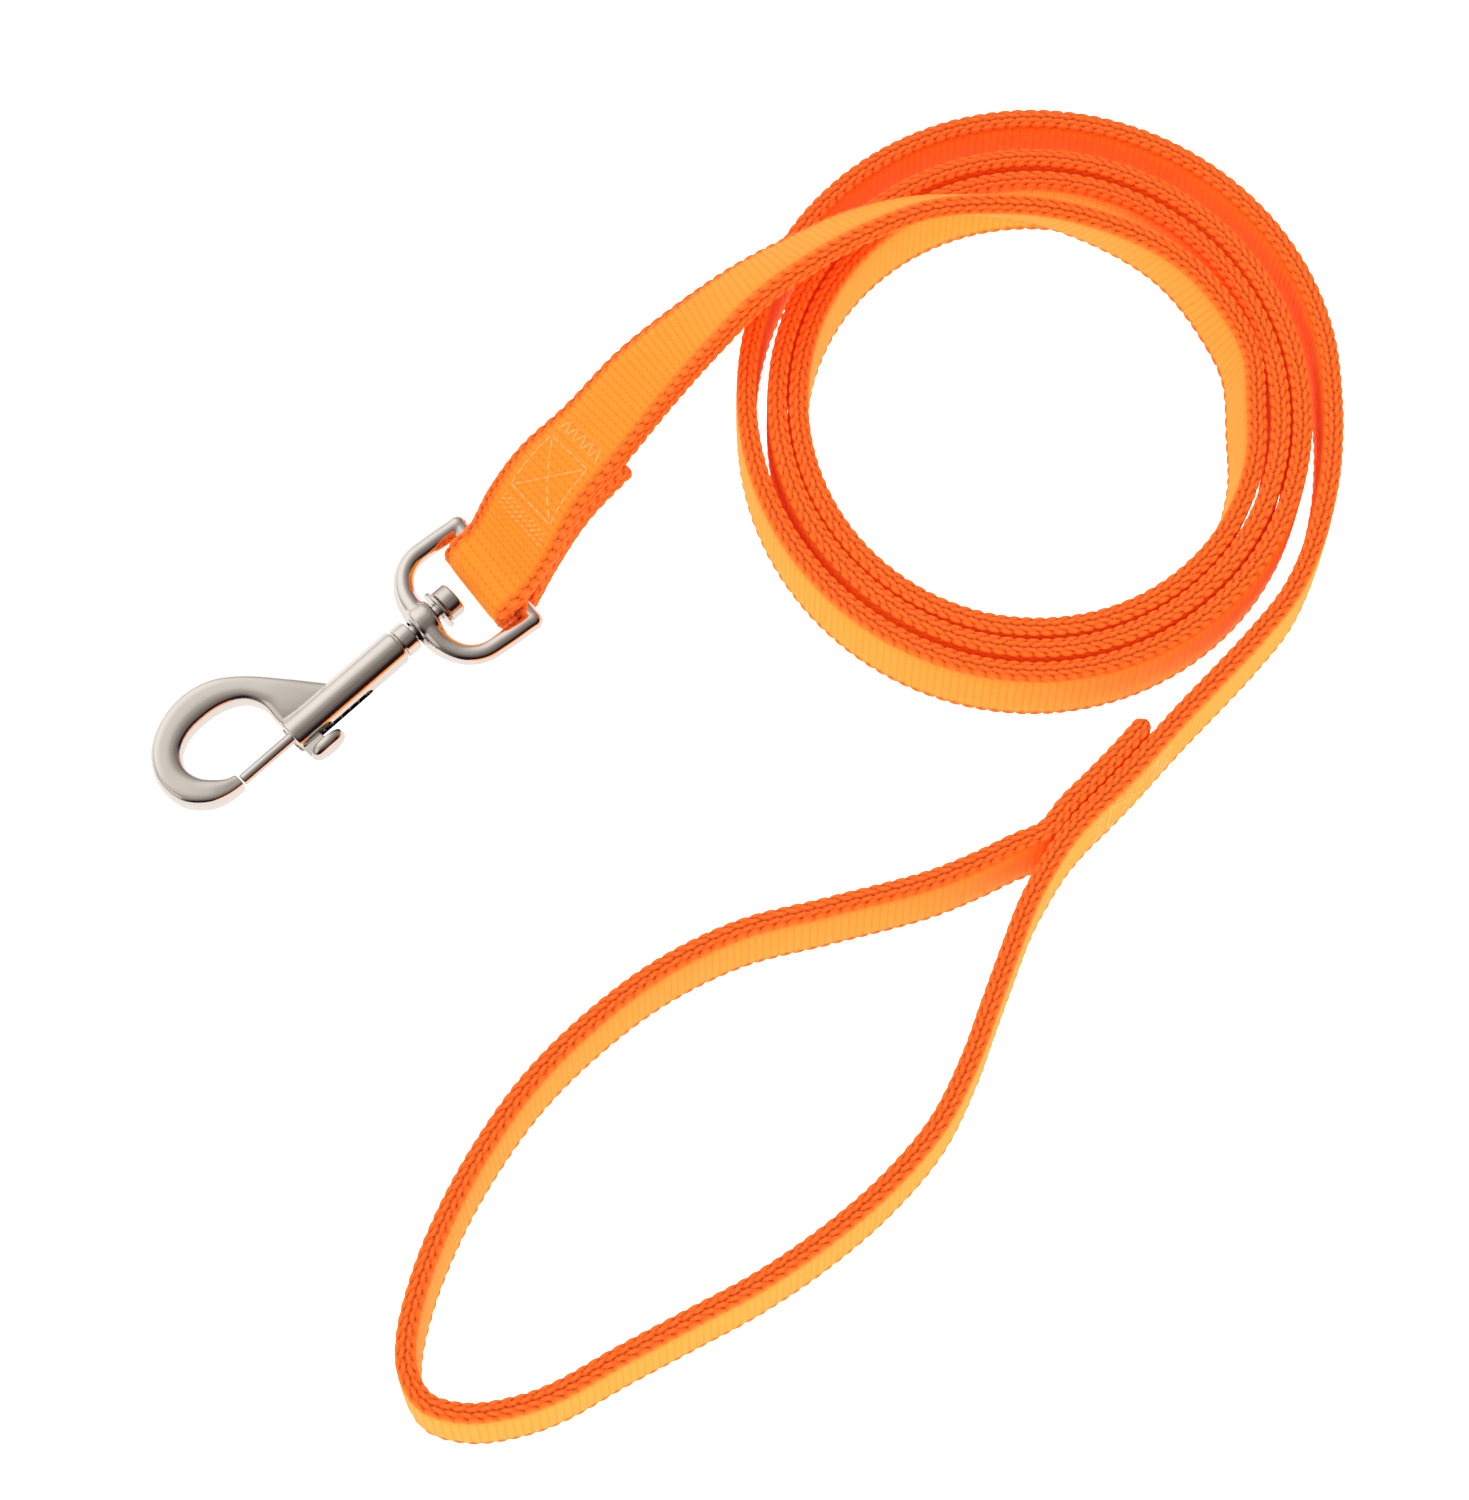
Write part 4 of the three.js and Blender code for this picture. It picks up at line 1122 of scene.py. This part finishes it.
sewn(
    "hook_seam_threads",
    seam_lines(
        lead.hook_seam_station,
        box=(5.2, 18.9),
        box_half=6,
        tack=1.4,
        zigzag=22.4,
        zigzag_depth=3.2,
        half=6.4,
    ),
    ("hook_box_stitch", "hook_inner_bar_tack", "hook_outer_bar_tack"),
)
sewn(
    "handle_seam_threads",
    seam_lines(
        lead.handle_seam_station,
        box=(11.5, 25.5),
        box_half=6.5,
        tack=8.6,
        zigzag=28.6,
        zigzag_depth=2.6,
        half=6.6,
    ),
    ("handle_box_stitch", "handle_upper_bar_tack", "handle_lower_bar_tack"),
)


# ------------------------------------------------------------------ stage
FLOOR_HALF_WIDTH = 3.0


def floor_material(name, colour, tint, glow):
    nodes = Nodes(name)
    nodes.shader.inputs["Base Color"].default_value = (*colour, 1)
    nodes.shader.inputs["Roughness"].default_value = 0.6
    nodes.shader.inputs["Emission Color"].default_value = (*tint, 1)
    nodes.shader.inputs["Emission Strength"].default_value = glow
    return nodes.material


def make_floor(name, drop, colour, tint, glow, unseen):
    signs = ((-1, -1), (1, -1), (1, 1), (-1, 1))
    corners = [(x * FLOOR_HALF_WIDTH, y * FLOOR_HALF_WIDTH, -drop) for x, y in signs]
    floor = new_object(name, corners, [(0, 1, 2, 3)], smooth=False)
    floor.data.materials.append(floor_material(name, colour, tint, glow))
    for ray in unseen:
        setattr(floor, f"visible_{ray}", False)


def make_reflected_studio():
    """A dome that only reflections see: pale at the upper left, with a window lower down there,
    and dim low at the right and in front."""
    bpy.ops.mesh.primitive_uv_sphere_add(segments=48, ring_count=24, radius=2.4)
    dome = bpy.context.object
    dome.name = "reflected_studio"
    nodes = Nodes("reflected_studio")
    place = nodes.add("ShaderNodeTexCoord").outputs["Object"]
    way = nodes.add("ShaderNodeVectorMath", {0: place}, operation="NORMALIZE").outputs["Vector"]

    def toward(x, y, z):
        aim = tuple(Vector((x, y, z)).normalized())
        node = nodes.add("ShaderNodeVectorMath", {0: way, 1: aim}, operation="DOT_PRODUCT")
        return node.outputs["Value"]

    pale = nodes.ramp(
        toward(-0.62, 0.50, 0.60),
        [(0.3, (0.24, 0.21, 0.195)), (0.72, (0.50, 0.46, 0.43)), (0.97, (1.1, 1.07, 1.03))],
    )
    height = nodes.add("ShaderNodeSeparateXYZ", {"Vector": way}).outputs["Z"]
    low = nodes.ramp(height, [(0.50, (1, 1, 1)), (0.88, (0, 0, 0))])
    aside = nodes.ramp(toward(0.6, -0.8, 0.0), [(0.15, (0, 0, 0)), (0.5, (1, 1, 1))])
    dim = nodes.math("MULTIPLY", low, aside)
    colour = nodes.mix(dim, pale, (0.022, 0.009, 0.014, 1))
    window = nodes.ramp(toward(-0.80, -0.40, 0.44), [(0.93, (0, 0, 0)), (0.965, (1, 1, 1))])
    colour = nodes.mix(window, colour, (0.78, 0.70, 0.66, 1))
    nodes.shader.inputs["Base Color"].default_value = (0, 0, 0, 1)
    nodes.shader.inputs["Specular IOR Level"].default_value = 0.0
    nodes.set(nodes.shader.inputs["Emission Color"], colour)
    nodes.shader.inputs["Emission Strength"].default_value = 1.0
    dome.data.materials.append(nodes.material)
    for ray in ("camera", "diffuse", "transmission", "shadow", "volume_scatter"):
        setattr(dome, f"visible_{ray}", False)


def area_light(name, location, target, size, radiance):
    data = bpy.data.lights.new(name, "AREA")
    data.shape = "RECTANGLE"
    data.size, data.size_y = size
    data.energy = radiance * math.pi * size[0] * size[1]
    light = bpy.data.objects.new(name, data)
    light.location = location
    light.visible_glossy = False
    light.rotation_mode = "QUATERNION"
    light.rotation_quaternion = (Vector(target) - Vector(location)).to_track_quat("-Z", "Y")
    bpy.context.scene.collection.objects.link(light)


def make_lights():
    area_light("key", (-1.7, 1.5, 2.0), (0, 0, 0), (3.0, 3.0), 1.35)
    area_light("fill", (1.8, 0.6, 2.2), (0, 0, 0), (2.0, 2.0), 0.8)
    area_light("front", (0.3, -2.1, 0.7), (0, 0, 0), (3.0, 1.2), 1.2)
    world = bpy.data.worlds.new("studio")
    world.use_nodes = True
    background = world.node_tree.nodes["Background"]
    background.inputs["Color"].default_value = (1, 0.985, 0.965, 1)
    background.inputs["Strength"].default_value = 0.62
    bpy.context.scene.world = world
    bpy.context.scene.view_settings.view_transform = "Standard"


make_reflected_studio()
make_floor("pale_floor", 0.1 * MM, (0.5, 0.5, 0.5), (1, 1, 1), 1.7, ("glossy",))
make_floor(
    "reflected_floor", 0.3 * MM, (0, 0, 0), (1.0, 0.95, 0.92), 1.05, ("camera", "diffuse", "shadow")
)
make_lights()
